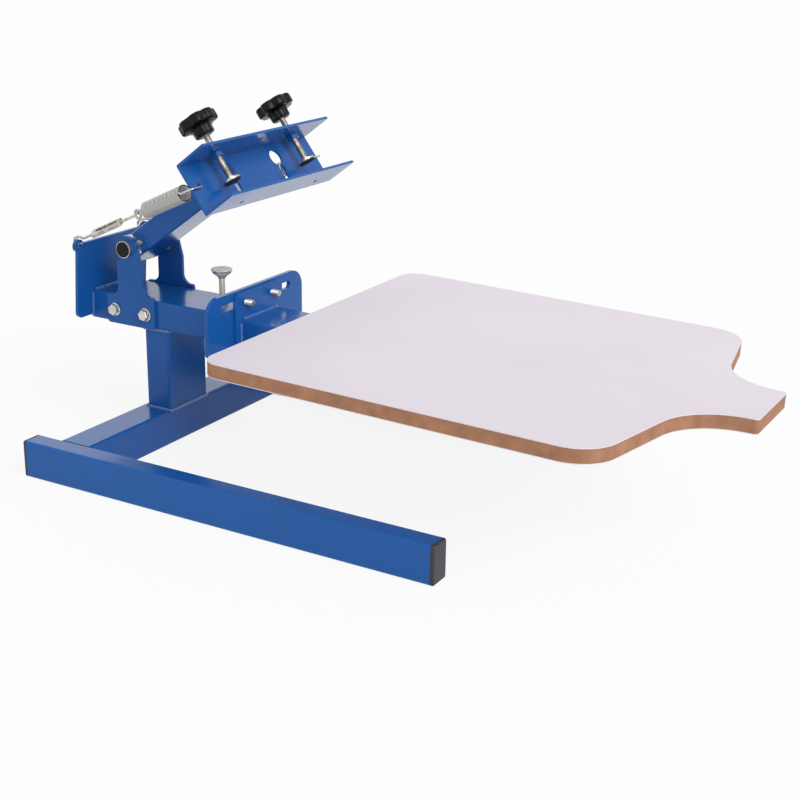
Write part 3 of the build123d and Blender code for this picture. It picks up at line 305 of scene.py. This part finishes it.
def only(piece):
    """Select one piece alone and make it the active one."""
    bpy.ops.object.select_all(action="DESELECT")
    piece.select_set(True)
    bpy.context.view_layer.objects.active = piece


def tube_along(name, points, radius, material, ripple=0.0, roundness=2, kind="POLY"):
    """Solid round wire along points, as a mesh; a ripple swells it in even steps."""
    curve = bpy.data.curves.new(name, "CURVE")
    curve.dimensions = "3D"
    curve.bevel_depth = radius
    curve.bevel_resolution = roundness
    curve.use_fill_caps = True
    line = curve.splines.new(kind)
    line.points.add(len(points) - 1)
    for index, (point, spot) in enumerate(zip(line.points, points)):
        point.co = (*spot, 1.0)
        point.radius = 1.0 + ripple * cos(2 * pi * index / RIPPLE_EVERY)
    if kind == "NURBS":
        line.order_u = 4
        line.use_endpoint_u = True
        line.resolution_u = 1
    piece = bpy.data.objects.new(name, curve)
    bpy.context.collection.objects.link(piece)
    only(piece)
    bpy.ops.object.convert(target="MESH")
    piece = bpy.context.object
    piece.name = name
    piece.data.materials.clear()
    piece.data.materials.append(material)
    bpy.ops.object.shade_smooth()
    return piece


def weld(name, corners, body):
    """Rippled bead through corner points."""
    spots = []
    for start, end in zip(corners[:-1], corners[1:]):
        start = Vector(start)
        run = Vector(end) - start
        count = max(2, round(run.length / BEAD_STEP))
        spots += [start + run * (step / count) for step in range(count)]
    spots.append(Vector(corners[-1]))
    bead = tube_along(name, spots, BEAD_RADIUS, bead_enamel, BEAD_RIPPLE)
    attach(bead, body)


def weld_round(name, low, high, z, body):
    """Bead round an upright rectangular tube at a height."""
    corners = [(low.x, low.y, z), (high.x, low.y, z), (high.x, high.y, z), (low.x, high.y, z)]
    weld(name, corners + corners[:1], body)


def box(name):
    """Lowest and highest corner of a node, as vectors."""
    low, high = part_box(name)
    return Vector(low), Vector(high)


post_low, post_high = box("post")
weld_round("post_foot_weld", post_low, post_high, post_low.z, "base")
weld_round("post_head_weld", post_low, post_high, post_high.z, "base")
cross_low, cross_high = box("cross_tube")
for side, y in (("near", cross_low.y), ("far", cross_high.y)):
    for end, x in (("rear", cross_low.x), ("front", cross_high.x)):
        weld(
            f"{side}_leg_{end}_weld",
            [(x, y, cross_low.z + 2 * BEAD_RADIUS), (x, y, cross_high.z - 2 * BEAD_RADIUS)],
            "base",
        )
beam_low, beam_high = box("beam")
weld_low = beam_low.z + TUBE_ROUND
weld_high = beam_high.z - TUBE_ROUND
plate_foot_x = beam_low.x + PLATE_WELD_INSET
plate_head_x = beam_low.x + (beam_high.z - beam_low.z) * sin(PLATE_LEAN)
for side, y in (("near", beam_low.y), ("far", beam_high.y)):
    weld(
        f"{side}_spring_plate_weld",
        [(plate_foot_x, y, weld_low), (plate_head_x, y, weld_high)],
        "base",
    )
    weld(
        f"{side}_end_plate_weld",
        [(beam_high.x, y, weld_low), (beam_high.x, y, weld_high)],
        "base",
    )
for name, x in (("spring_plate_top_weld", plate_head_x), ("end_plate_top_weld", beam_high.x)):
    weld(
        name,
        [(x, beam_low.y + TUBE_ROUND, beam_high.z), (x, beam_high.y - TUBE_ROUND, beam_high.z)],
        "base",
    )
support_low, support_high = box("support_tube")
bracket_face = box("bracket_plate")[1].x
for side, y in (("near", support_low.y), ("far", support_high.y)):
    weld(
        f"{side}_bracket_weld",
        [
            (bracket_face, y, support_high.z - SUPPORT_HEIGHT + TUBE_ROUND),
            (bracket_face, y, support_high.z - TUBE_ROUND),
        ],
        "pallet",
    )
weld(
    "bracket_top_weld",
    [
        (bracket_face, support_low.y + TUBE_ROUND, support_high.z),
        (bracket_face, support_high.y - TUBE_ROUND, support_high.z),
    ],
    "pallet",
)

# ---------------------------------------------------------------- arm's weld to the clamp
# The arm tube is cut square to the clamp's web and welded to its back all round.
PIVOT = Vector(frame["record"]["behaviour"]["joints"][0]["pos_m"])
LIFT = radians(37.0)
ARM_ANGLE = radians(35.75)
CLAMP_REACH = 0.1956
CLAMP_TOP = 0.0144
ARM_HALF_WIDTH = 0.030
ARM_HALF_HEIGHT = 0.0145
clamp_along = Vector((cos(LIFT), 0.0, sin(LIFT)))
clamp_up = Vector((-sin(LIFT), 0.0, cos(LIFT)))
arm_middle = -CLAMP_REACH * sin(LIFT - ARM_ANGLE)
joint = PIVOT + clamp_along * CLAMP_REACH + clamp_up * arm_middle
across = Vector((0.0, ARM_HALF_WIDTH, 0.0))
upright = clamp_up * ARM_HALF_HEIGHT
weld(
    "arm_weld",
    [
        joint - across - upright, joint - across + upright, joint + across + upright,
        joint + across - upright, joint - across - upright,
    ],
    "arm",
)

# ---------------------------------------------------------------- plastic plugs
# Charcoal push-in plugs close the ends of the legs, the pallet's tube and the arm, moulded with
# a faint texture. Two darker crowned plugs close the ends of the pivot tube.
CHARCOAL_COLOURS = ((0.012, 0.014, 0.017, 1.0), (0.022, 0.024, 0.03, 1.0))
CHARCOAL_PITS = 0.00006
MOULDED_EDGE = 0.0006
FACES_UP = 0.99

charcoal = make_finish(
    "charcoal plastic",
    scales=(30.0, 900.0),
    colours=CHARCOAL_COLOURS,
    roughness=(0.4, 0.55),
    pits=CHARCOAL_PITS,
    edge_round=MOULDED_EDGE,
    rough_by="Grain",
)
dress(charcoal, "leg_end_caps", "support_end_cap", "arm_end_cap")


def lathe(name, rings, material, sides=48, smooth=35.0):
    """Turned solid standing on +Z, drawn as rings of (radius, height) from its foot up."""
    (foot_radius, foot), (radius, height) = rings[0], rings[1]
    bpy.ops.object.select_all(action="DESELECT")
    bpy.ops.mesh.primitive_cone_add(
        vertices=sides, radius1=foot_radius, radius2=radius, depth=height - foot,
        location=(0.0, 0.0, (foot + height) / 2),
    )
    piece = bpy.context.object
    piece.name = name
    bpy.ops.object.transform_apply(location=True, rotation=True, scale=True)
    for face in piece.data.polygons:
        face.select = face.normal.z > FACES_UP
    bpy.ops.object.mode_set(mode="EDIT")
    bpy.ops.mesh.select_mode(type="FACE")
    for (old, low), (new, high) in zip(rings[1:-1], rings[2:]):
        bpy.ops.mesh.extrude_region_move(TRANSFORM_OT_translate={"value": (0.0, 0.0, high - low)})
        bpy.ops.transform.resize(value=(new / old, new / old, 1.0))
    bpy.ops.object.mode_set(mode="OBJECT")
    piece.data.materials.clear()
    piece.data.materials.append(material)
    only(piece)
    bpy.ops.object.shade_smooth_by_angle(angle=radians(smooth))
    return piece


def stand(piece, place, direction, turn=0.0):
    """Turn a piece from +Z to a direction and set it down at a place, in its own mesh."""
    facing = Vector(direction).to_track_quat("Z", "Y").to_matrix().to_4x4()
    piece.data.transform(Matrix.Translation(place) @ facing @ Matrix.Rotation(turn, 4, "Z"))
    return piece


def copy_of(piece, name):
    """Copy of a piece with its own mesh."""
    twin = piece.copy()
    twin.data = piece.data.copy()
    twin.name = name
    bpy.context.collection.objects.link(twin)
    return twin


PLUG_RADIUS = 0.0096
PLUG_CROWN = [
    (1.0, -0.00095), (1.0, -0.0006), (0.96, -0.0003), (0.8, -0.0001), (0.5, -0.00003), (0.1, 0.0)
]
PLUG_COLOURS = ((0.004, 0.004, 0.004, 1.0), (0.009, 0.009, 0.01, 1.0))
PLUG_PITS = 0.00004

plug_black = make_finish(
    "black pivot plug",
    scales=(60.0, 700.0),
    colours=PLUG_COLOURS,
    roughness=(0.5, 0.65),
    pits=PLUG_PITS,
    rough_by="Grain",
    levels=(("Specular IOR Level", 0.25),),
)
shaft_low, shaft_high = box("pivot_shaft")
shaft_middle = (shaft_low + shaft_high) / 2
plug_low, plug_high = box("pivot_plugs")
for side, y, facing in (("near", plug_low.y, -1.0), ("far", plug_high.y, 1.0)):
    plug = lathe(
        f"{side}_pivot_plug",
        [(PLUG_RADIUS * share, height) for share, height in PLUG_CROWN],
        plug_black,
    )
    stand(plug, Vector((shaft_middle.x, y, shaft_middle.z)), (0.0, facing, 0.0))
    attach(plug, "base")
    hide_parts("pivot_plugs")

# ---------------------------------------------------------------- zinc plate on the fasteners
# Bolts, nuts, washers, the pivot tube with its collars, and the wire hooks at both ends of each
# spring are bright zinc plate, cloudy from handling, with a slight warm cast.
ZINC_COLOURS = ((0.52, 0.5, 0.46, 1.0), (0.72, 0.7, 0.66, 1.0))
ZINC_PITS = 0.00002
ZINC_EDGE = 0.0004

zinc = make_finish(
    "zinc plate",
    scales=(90.0, 700.0),
    colours=ZINC_COLOURS,
    roughness=(0.42, 0.26),
    pits=ZINC_PITS,
    edge_round=ZINC_EDGE,
    levels=(("Metallic", 1.0),),
)
dress(zinc, "pivot_shaft", "pivot_collars", "collar_screws", "bracket_washers", "pallet_screws")
for side in ("near", "far"):
    dress(zinc, f"{side}_spring_loop", f"{side}_anchor_hook")

# ---------------------------------------------------------------- hexagon bolts and nuts
# M8 bolts 13 mm across flats, with chamfered corners and rolled threads. The ears' bolts have
# a flange under the head. The bracket's bolts come from behind and their ends stand out in front.
HEX_RADIUS = 0.0073
HEX_CHAMFER = 0.0009
HEX_FOOT_SHARE = 0.9
HEX_TOP_SHARE = 0.88
HEX_SMOOTH = 20.0
M8_RADIUS = 0.0039
M8_PITCH = 0.00125
THREAD_DEPTH = 0.56
THREAD_STEPS = 28
THREAD_SMOOTH = 30.0
MERGE_WITHIN = 0.000002


def hexagon(name, radius, height, material):
    """Hexagon head or nut, its corners turned off at both faces."""
    rings = [
        (radius * HEX_FOOT_SHARE, 0.0), (radius, HEX_CHAMFER / 2),
        (radius, height - HEX_CHAMFER), (radius * HEX_TOP_SHARE, height),
    ]
    return lathe(name, rings, material, sides=6, smooth=HEX_SMOOTH)


def thread(name, radius, pitch, start, length, material):
    """Helical thread on +Z, its depth a share of the pitch, closed at both ends."""
    mesh = bpy.data.meshes.new(name)
    root = radius - THREAD_DEPTH * pitch
    flank = pitch / 2
    profile = [(radius, 0.0, start), (root, 0.0, start + flank), (radius, 0.0, start + pitch)]
    mesh.from_pydata(profile, [(0, 1), (1, 2)], [])
    piece = bpy.data.objects.new(name, mesh)
    bpy.context.collection.objects.link(piece)
    only(piece)
    wound = piece.modifiers.new("wound", "SCREW")
    wound.axis = "Z"
    wound.angle = 2 * pi
    wound.screw_offset = pitch
    wound.iterations = max(1, round(length / pitch) - 1)
    wound.steps = THREAD_STEPS
    wound.render_steps = THREAD_STEPS
    wound.use_merge_vertices = True
    bpy.ops.object.modifier_apply(modifier=wound.name)
    bpy.ops.object.mode_set(mode="EDIT")
    bpy.ops.mesh.select_all(action="SELECT")
    bpy.ops.mesh.remove_doubles(threshold=MERGE_WITHIN)
    bpy.ops.mesh.fill_holes(sides=0)
    bpy.ops.mesh.select_all(action="SELECT")
    bpy.ops.mesh.normals_make_consistent(inside=False)
    bpy.ops.object.mode_set(mode="OBJECT")
    piece.data.materials.append(material)
    bpy.ops.object.shade_smooth_by_angle(angle=radians(THREAD_SMOOTH))
    return piece


def join(name, *pieces):
    """Join pieces into one object."""
    only(pieces[0])
    for piece in pieces[1:]:
        piece.select_set(True)
    bpy.ops.object.join()
    pieces[0].name = name
    return pieces[0]


def finish_fastener(piece, body, slot, *replaced):
    """Give a fastener its body and hide the plain solids it stands in for; the slot is not used."""
    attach(piece, body)
    if replaced:
        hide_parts(*replaced)


HEAD_HEIGHT = 0.0053
FLANGE_RADIUS = 0.0082
FLANGE_THICK = 0.0013
FLANGE_RINGS = [(1.0, 0.0), (1.0, 0.6), (0.86, 1.0), (0.7, 1.05)]
NUT_HEIGHT = 0.0065
STUB = 0.003
BRACKET_THREAD = 0.022
HEAD_TURNS = (radians(8.0), radians(21.0))

bolts_low, bolts_high = box("ear_bolts")
nuts_low = box("ear_nuts")[0]
bolt_z = (bolts_low.z + bolts_high.z) / 2
for name, x, turn in (
    ("rear", bolts_low.x + FLANGE_RADIUS, HEAD_TURNS[0]),
    ("front", bolts_high.x - FLANGE_RADIUS, HEAD_TURNS[1]),
):
    flange = lathe(
        f"{name}_flange",
        [(FLANGE_RADIUS * share, FLANGE_THICK * rise) for share, rise in FLANGE_RINGS],
        zinc,
    )
    head = hexagon(f"{name}_head", HEX_RADIUS, HEAD_HEIGHT, zinc)
    head.data.transform(Matrix.Translation((0.0, 0.0, FLANGE_THICK)))
    bolt = join(f"{name}_ear_bolt_head", flange, head)
    head_place = Vector((x, bolts_low.y + FLANGE_THICK + HEAD_HEIGHT, bolt_z))
    stand(bolt, head_place, (0.0, -1.0, 0.0), turn)
    finish_fastener(bolt, "base", "zinc_steel", "ear_bolts")
    nut = hexagon(f"{name}_ear_nut", HEX_RADIUS, NUT_HEIGHT, zinc)
    stand(nut, Vector((x, nuts_low.y, bolt_z)), (0.0, 1.0, 0.0), turn)
    finish_fastener(nut, "base", "zinc_steel", "ear_nuts")
    stub = thread(f"{name}_ear_thread", M8_RADIUS, M8_PITCH, 0.0, NUT_HEIGHT + STUB, zinc)
    stand(stub, Vector((x, nuts_low.y, bolt_z)), (0.0, 1.0, 0.0))
    finish_fastener(stub, "base", "zinc_steel", "ear_bolts")

slide_bolts_low, slide_bolts_high = box("bracket_bolts")
slot_z = (slide_bolts_low.z + slide_bolts_high.z) / 2
bracket_y = slide_bolts_high.y - HEX_RADIUS
for name, y, turn in (("near", -bracket_y, HEAD_TURNS[1]), ("far", bracket_y, HEAD_TURNS[0])):
    head = hexagon(f"{name}_bracket_head", HEX_RADIUS, HEAD_HEIGHT, zinc)
    shank = thread(f"{name}_bracket_shank", M8_RADIUS, M8_PITCH, 0.0, BRACKET_THREAD, zinc)
    shank.data.transform(Matrix.Translation((0.0, 0.0, slide_bolts_low.x - slide_bolts_high.x)))
    head.data.transform(Matrix.Translation((0.0, 0.0, -HEAD_HEIGHT)))
    bolt = join(f"{name}_bracket_bolt", head, shank)
    stand(bolt, Vector((slide_bolts_low.x, y, slot_z)), (-1.0, 0.0, 0.0), turn)
    finish_fastener(bolt, "pallet", "zinc_steel", "bracket_bolts")

# ---------------------------------------------------------------- stop screw
# An M8 screw with a wide flat head that tapers down to the thread, locked in the beam by its
# nut. The lowered arm lands on the top of the head, which is duller than the other zinc.
STOP_HEAD_RINGS = [
    (0.0042, -0.012), (0.005, -0.0085), (0.0062, -0.0066), (0.0105, -0.0035), (0.0125, -0.0026),
    (0.013, -0.0018), (0.013, -0.0006), (0.0124, 0.0), (0.001, 0.0),
]
STOP_THREAD_UNDER_TOP = 0.011
STOP_NUT_TURN = radians(12.0)
DULL_COLOURS = ((0.60, 0.59, 0.57, 1.0), (0.74, 0.73, 0.71, 1.0))
DULL_PITS = 0.00003

dull_zinc = make_finish(
    "dull zinc",
    scales=(120.0, 800.0),
    colours=DULL_COLOURS,
    roughness=(0.6, 0.5),
    pits=DULL_PITS,
    edge_round=ZINC_EDGE,
    levels=(("Metallic", 0.7),),
)
stop_low, stop_high = box("stop_screw")
stop_nut_low = box("stop_nut")[0]
stop_x = (stop_low.x + stop_high.x) / 2
stop_length = stop_high.z - stop_low.z
stop_head = lathe(
    "stop_head", [(radius, stop_length + height) for radius, height in STOP_HEAD_RINGS], dull_zinc
)
stop_thread = thread(
    "stop_thread", M8_RADIUS, M8_PITCH, 0.0, stop_length - STOP_THREAD_UNDER_TOP, zinc
)
stop_screw = join("stop_screw_dressed", stop_head, stop_thread)
stand(stop_screw, Vector((stop_x, 0.0, stop_low.z)), (0.0, 0.0, 1.0))
finish_fastener(stop_screw, "stop", "zinc_steel", "stop_screw")
stop_nut = hexagon("stop_nut_dressed", HEX_RADIUS, NUT_HEIGHT, zinc)
stand(stop_nut, Vector((stop_x, 0.0, stop_nut_low.z)), (0.0, 0.0, 1.0), STOP_NUT_TURN)
finish_fastener(stop_nut, "base", "zinc_steel", "stop_nut")

# ---------------------------------------------------------------- clamp nuts and screws
# A painted M8 nut is welded under the upper flange for each clamp screw. The screws are
# threaded all the way up into their knobs and swivel in the pads at their feet, which have
# black rubber below. Screws, pads, turnbuckles and their hooks are worn, yellower zinc.
SCREW_Y = 0.075
SCREW_ALONG = CLAMP_REACH + 0.0199
CLAMP_NUT_RADIUS = 0.0076
CLAMP_NUT_HEIGHT = 0.0068
CLAMP_THICK = 0.003
PAD_TOP = -0.0210
KNOB_FOOT = CLAMP_TOP + 0.0195
KNOB_SOCKET = 0.018
SCREW_START = 0.0003
SPIGOT_RINGS = [(0.0022, -0.0023), (0.0025, -0.002), (0.0025, 0.0001), (0.0034, 0.0012)]
WORN_COLOURS = ((0.36, 0.335, 0.29, 1.0), (0.70, 0.67, 0.60, 1.0))
WORN_PITS = 0.00003
WORN_EDGE = 0.0003
RUBBER_BLACK = (0.02, 0.02, 0.02, 1.0)
RUBBER_SCALES = (60.0, 800.0)
RUBBER_ROUGHNESS = (0.6, 0.8)
RUBBER_PITS = 0.00005


def on_clamp(along, y, up):
    """Place in the clamp's own directions."""
    return PIVOT + clamp_along * along + clamp_up * up + Vector((0.0, y, 0.0))


worn_zinc = make_finish(
    "worn yellow zinc",
    scales=(150.0, 900.0),
    colours=WORN_COLOURS,
    roughness=(0.45, 0.28),
    pits=WORN_PITS,
    edge_round=WORN_EDGE,
    levels=(("Metallic", 1.0),),
)
for side in ("near", "far"):
    dress(
        worn_zinc, f"{side}_turnbuckle_hook", f"{side}_turnbuckle", f"{side}_turnbuckle_eye",
        f"{side}_clamp_pad",
    )

rubber, rubber_tree, rubber_shader = new_material("pad rubber")
rubber_shader.inputs["Base Color"].default_value = RUBBER_BLACK
rubber_bloom = add_unevenness(rubber_tree, *RUBBER_SCALES)
rubber_roughness = spread(rubber_tree, rubber_bloom.outputs["Blotch"], *RUBBER_ROUGHNESS)
wire(rubber_tree, rubber_roughness, rubber_shader.inputs["Roughness"])
dent(rubber_tree, rubber_shader, rubber_bloom.outputs["Grain"], RUBBER_PITS)
dress(rubber, "near_pad_rubber", "far_pad_rubber")

for side, y in (("near", -SCREW_Y), ("far", SCREW_Y)):
    nut = hexagon(f"{side}_clamp_nut", CLAMP_NUT_RADIUS, CLAMP_NUT_HEIGHT, enamel)
    stand(nut, on_clamp(SCREW_ALONG, y, CLAMP_TOP - CLAMP_THICK), -clamp_up)
    finish_fastener(nut, "arm", "blue_enamel", "clamp_nuts")
    length = KNOB_FOOT + KNOB_SOCKET - PAD_TOP
    shank = thread(f"{side}_screw_thread", M8_RADIUS, M8_PITCH, SCREW_START, length, worn_zinc)
    spigot = lathe(f"{side}_screw_spigot", SPIGOT_RINGS, worn_zinc)
    screw = join(f"{side}_clamp_screw_dressed", shank, spigot)
    stand(screw, on_clamp(SCREW_ALONG, y, PAD_TOP), clamp_up)
    finish_fastener(screw, f"{side}_knob", "zinc_steel", f"{side}_clamp_screw")

# ---------------------------------------------------------------- star knobs
# Seven-lobed hand knobs of black moulded plastic on a fluted hub, semi-gloss, with rounded
# edges and a shallow dished top.
KNOB_LOBES = 7
FACETS_A_LOBE = 20
KNOB_SMOOTH = 50.0
KNOB_FLUTE = 0.12
HUB_FLUTE = 0.06
FLUTE_POWER = 2
RIM_POWER = 4
KNOB_SHOULDER = 0.011
KNOB_RIM = 0.0225
KNOB_RINGS = [
    (0.0110, 0.0), (0.0118, 0.0004), (0.0120, 0.0012), (0.0121, 0.0045), (0.0124, 0.0075),
    (0.0131, 0.0100), (0.0150, 0.0110), (0.0200, 0.0114), (0.0222, 0.0116), (0.0229, 0.0120),
    (0.0232, 0.0130), (0.0233, 0.0160), (0.0232, 0.0208), (0.0229, 0.0220), (0.0222, 0.0227),
    (0.0206, 0.0229), (0.0160, 0.0230), (0.0110, 0.0229), (0.0105, 0.0222), (0.0020, 0.0221),
]
KNOB_COLOURS = ((0.003, 0.003, 0.0035, 1.0), (0.006, 0.006, 0.007, 1.0))
KNOB_PITS = 0.00003
KNOB_TURNS = {"near": radians(11.0), "far": radians(34.0)}

knob_black = make_finish(
    "black knob",
    scales=(40.0, 500.0),
    colours=KNOB_COLOURS,
    roughness=(0.2, 0.32),
    pits=KNOB_PITS,
    levels=(("Specular IOR Level", 0.16),),
)
star = lathe("star_knob", KNOB_RINGS, knob_black, KNOB_LOBES * FACETS_A_LOBE, KNOB_SMOOTH)
for vertex in star.data.vertices:
    angle = atan2(vertex.co.y, vertex.co.x)
    hollow = (0.5 + 0.5 * cos(KNOB_LOBES * angle)) ** FLUTE_POWER
    rim = min(1.0, sqrt(vertex.co.x**2 + vertex.co.y**2) / KNOB_RIM) ** RIM_POWER
    flute = KNOB_FLUTE * rim if vertex.co.z > KNOB_SHOULDER else HUB_FLUTE
    vertex.co.x *= 1.0 - flute * hollow
    vertex.co.y *= 1.0 - flute * hollow
for side, y in (("near", -SCREW_Y), ("far", SCREW_Y)):
    knob = copy_of(star, f"{side}_star_knob")
    stand(knob, on_clamp(SCREW_ALONG, y, KNOB_FOOT), clamp_up, KNOB_TURNS[side])
    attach(knob, f"{side}_knob")
    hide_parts(f"{side}_clamp_knob")
bpy.data.objects.remove(star)

# ---------------------------------------------------------------- extension springs
# Two springs of bright plated wire pull the arm up. Each has twenty-nine turns and a straight lead
# at both ends. The sides of the wire, in the grooves between the turns, are darkened with painted
# shade in their colour.
HOOK_HOLE = Vector((-0.091845, 0.0, 0.246442))
HOOK_HOLE_Y = 0.06155
HOOK_BEND = 0.0046
ANCHOR_UP = -0.0166
SPLAY = 0.118
ANCHOR_GAP = 0.0125
SPRING_WIRE = 0.0022
SPRING_RADIUS = 0.0089
SPRING_PITCH = 0.0027
SPRING_TURNS = 29
POINTS_A_TURN = 18
POINT_SWELL = 0.67
LEAD_BEND = 0.0023
SPRING_SCALES = (120.0, 900.0)
SPRING_ROUGHNESS = (0.28, 0.4)
SPRING_METAL = 0.85
# This dark grey is painted shade for the sides of the wire where the turns meet; the crests inside
# and out stay white.
GROOVE_PAINTED_SHADE = (0.05, 0.049, 0.046, 1.0)
CREST_WHITE = (0.96, 0.95, 0.92, 1.0)
PAINTED_SHADE_END = 0.5
CREST_START = 0.92

spring_steel, spring_tree, spring_shader = new_material("spring wire")
drawn = add_unevenness(spring_tree, *SPRING_SCALES)
crest_height = spring_tree.nodes.new("ShaderNodeAttribute")
crest_height.attribute_name = "crest"
# Distance from the middle of the wire's round sets the painted shade: white at the crests, dark grey
# on the sides.
painted_shade_mask = spring_tree.nodes.new("ShaderNodeMath")
painted_shade_mask.operation = "ABSOLUTE"
wire(spring_tree, crest_height.outputs["Fac"], painted_shade_mask.inputs[0])
spring_colour_with_painted_shade = ramp(
    spring_tree, painted_shade_mask.outputs[0], GROOVE_PAINTED_SHADE, CREST_WHITE, PAINTED_SHADE_END, CREST_START
)
wire(spring_tree, spring_colour_with_painted_shade, spring_shader.inputs["Base Color"])
spring_shader.inputs["Metallic"].default_value = SPRING_METAL
spring_roughness = spread(spring_tree, drawn.outputs["Grain"], *SPRING_ROUGHNESS)
wire(spring_tree, spring_roughness, spring_shader.inputs["Roughness"])

anchor = PIVOT + clamp_along * CLAMP_REACH + clamp_up * ANCHOR_UP
reach = anchor - HOOK_HOLE
line_length = sqrt(reach.length**2 - HOOK_BEND**2)
slope = atan2(reach.z, reach.x) - atan2(HOOK_BEND, line_length)
planar = Vector((cos(slope), 0.0, sin(slope)))
splay_angle = atan2(SPLAY - HOOK_HOLE_Y, line_length)
climb = atan2(SPRING_PITCH, 2 * pi * SPRING_RADIUS)
lead = LEAD_BEND + SPRING_WIRE
lead_offset = LEAD_BEND * (1.0 - sin(climb))
lead_turn = atan2(lead_offset, SPRING_RADIUS)
coil_length = SPRING_TURNS * SPRING_PITCH + 2 * lead
coil_at = line_length / cos(splay_angle) - ANCHOR_GAP - coil_length
swell = 1.0 / cos(pi / POINTS_A_TURN) ** POINT_SWELL
point_radius = SPRING_RADIUS * swell

for side, sign in (("near", -1.0), ("far", 1.0)):
    along = planar * cos(splay_angle) + Vector((0.0, sign * sin(splay_angle), 0.0))
    outward = planar * -sin(splay_angle) + Vector((0.0, sign * cos(splay_angle), 0.0))
    square = along.cross(outward)
    coil_up = square * cos(lead_turn) + outward * sin(lead_turn)
    coil_out = coil_up.cross(along)
    foot = anchor - planar * line_length + Vector((0.0, sign * HOOK_HOLE_Y, 0.0)) + along * coil_at
    route = [(0.0, SPRING_RADIUS, -lead_offset), (lead / 2, SPRING_RADIUS, -lead_offset)]
    for step in range(SPRING_TURNS * POINTS_A_TURN + 1):
        turn = step / POINTS_A_TURN
        angle = 2 * pi * turn
        rise = lead + turn * SPRING_PITCH
        route.append((rise, point_radius * cos(angle), point_radius * sin(angle)))
    route.append((coil_length - lead / 2, SPRING_RADIUS, lead_offset))
    route.append((coil_length, SPRING_RADIUS, lead_offset))
    points = [foot + along * u + coil_out * v + coil_up * w for u, v, w in route]
    coil = tube_along(
        f"{side}_coil_spring", points, SPRING_WIRE / 2, spring_steel, roundness=3, kind="NURBS"
    )
    crest = coil.data.attributes.new("crest", "FLOAT", "POINT")
    for vertex, height in zip(coil.data.vertices, crest.data):
        spoke = vertex.co - foot
        spoke -= along * spoke.dot(along)
        height.value = (spoke.length - SPRING_RADIUS) * 2.0 / SPRING_WIRE
    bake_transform(coil)
    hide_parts(f"{side}_spring")

# ---------------------------------------------------------------- pallet
# A fibreboard core faced on both sides with smooth pale laminate. The cut edge is bare: warm
# brown, faintly mottled with fine fibres, under the laminate's thin rim.
LAMINATE_COLOURS = ((0.76, 0.69, 0.76, 1.0), (0.80, 0.735, 0.80, 1.0))
LAMINATE_PITS = 0.00002
BOARD_SHADE = (0.31, 0.148, 0.080, 1.0)
BOARD_BROWN = (0.42, 0.206, 0.114, 1.0)
BOARD_SCALES = (70.0, 900.0)
BOARD_ROUGHNESS = 0.85
BOARD_PITS = 0.0003
CUT_EDGE = 0.0006

laminate = make_finish(
    "pale laminate",
    scales=(5.0, 420.0),
    colours=LAMINATE_COLOURS,
    roughness=(0.34, 0.42),
    pits=LAMINATE_PITS,
    edge_round=CUT_EDGE,
    rough_by="Grain",
    levels=(("Specular IOR Level", 0.35),),
)
dress(laminate, "pallet_laminate", "pallet_backing")

board, board_tree, board_shader = new_material("fibreboard")
fibres = add_unevenness(board_tree, *BOARD_SCALES)
board_colour = ramp(board_tree, fibres.outputs["Blotch"], BOARD_SHADE, BOARD_BROWN)
wire(board_tree, board_colour, board_shader.inputs["Base Color"])
board_shader.inputs["Roughness"].default_value = BOARD_ROUGHNESS
dent(board_tree, board_shader, fibres.outputs["Grain"], BOARD_PITS, CUT_EDGE)
dress(board, "pallet_board")
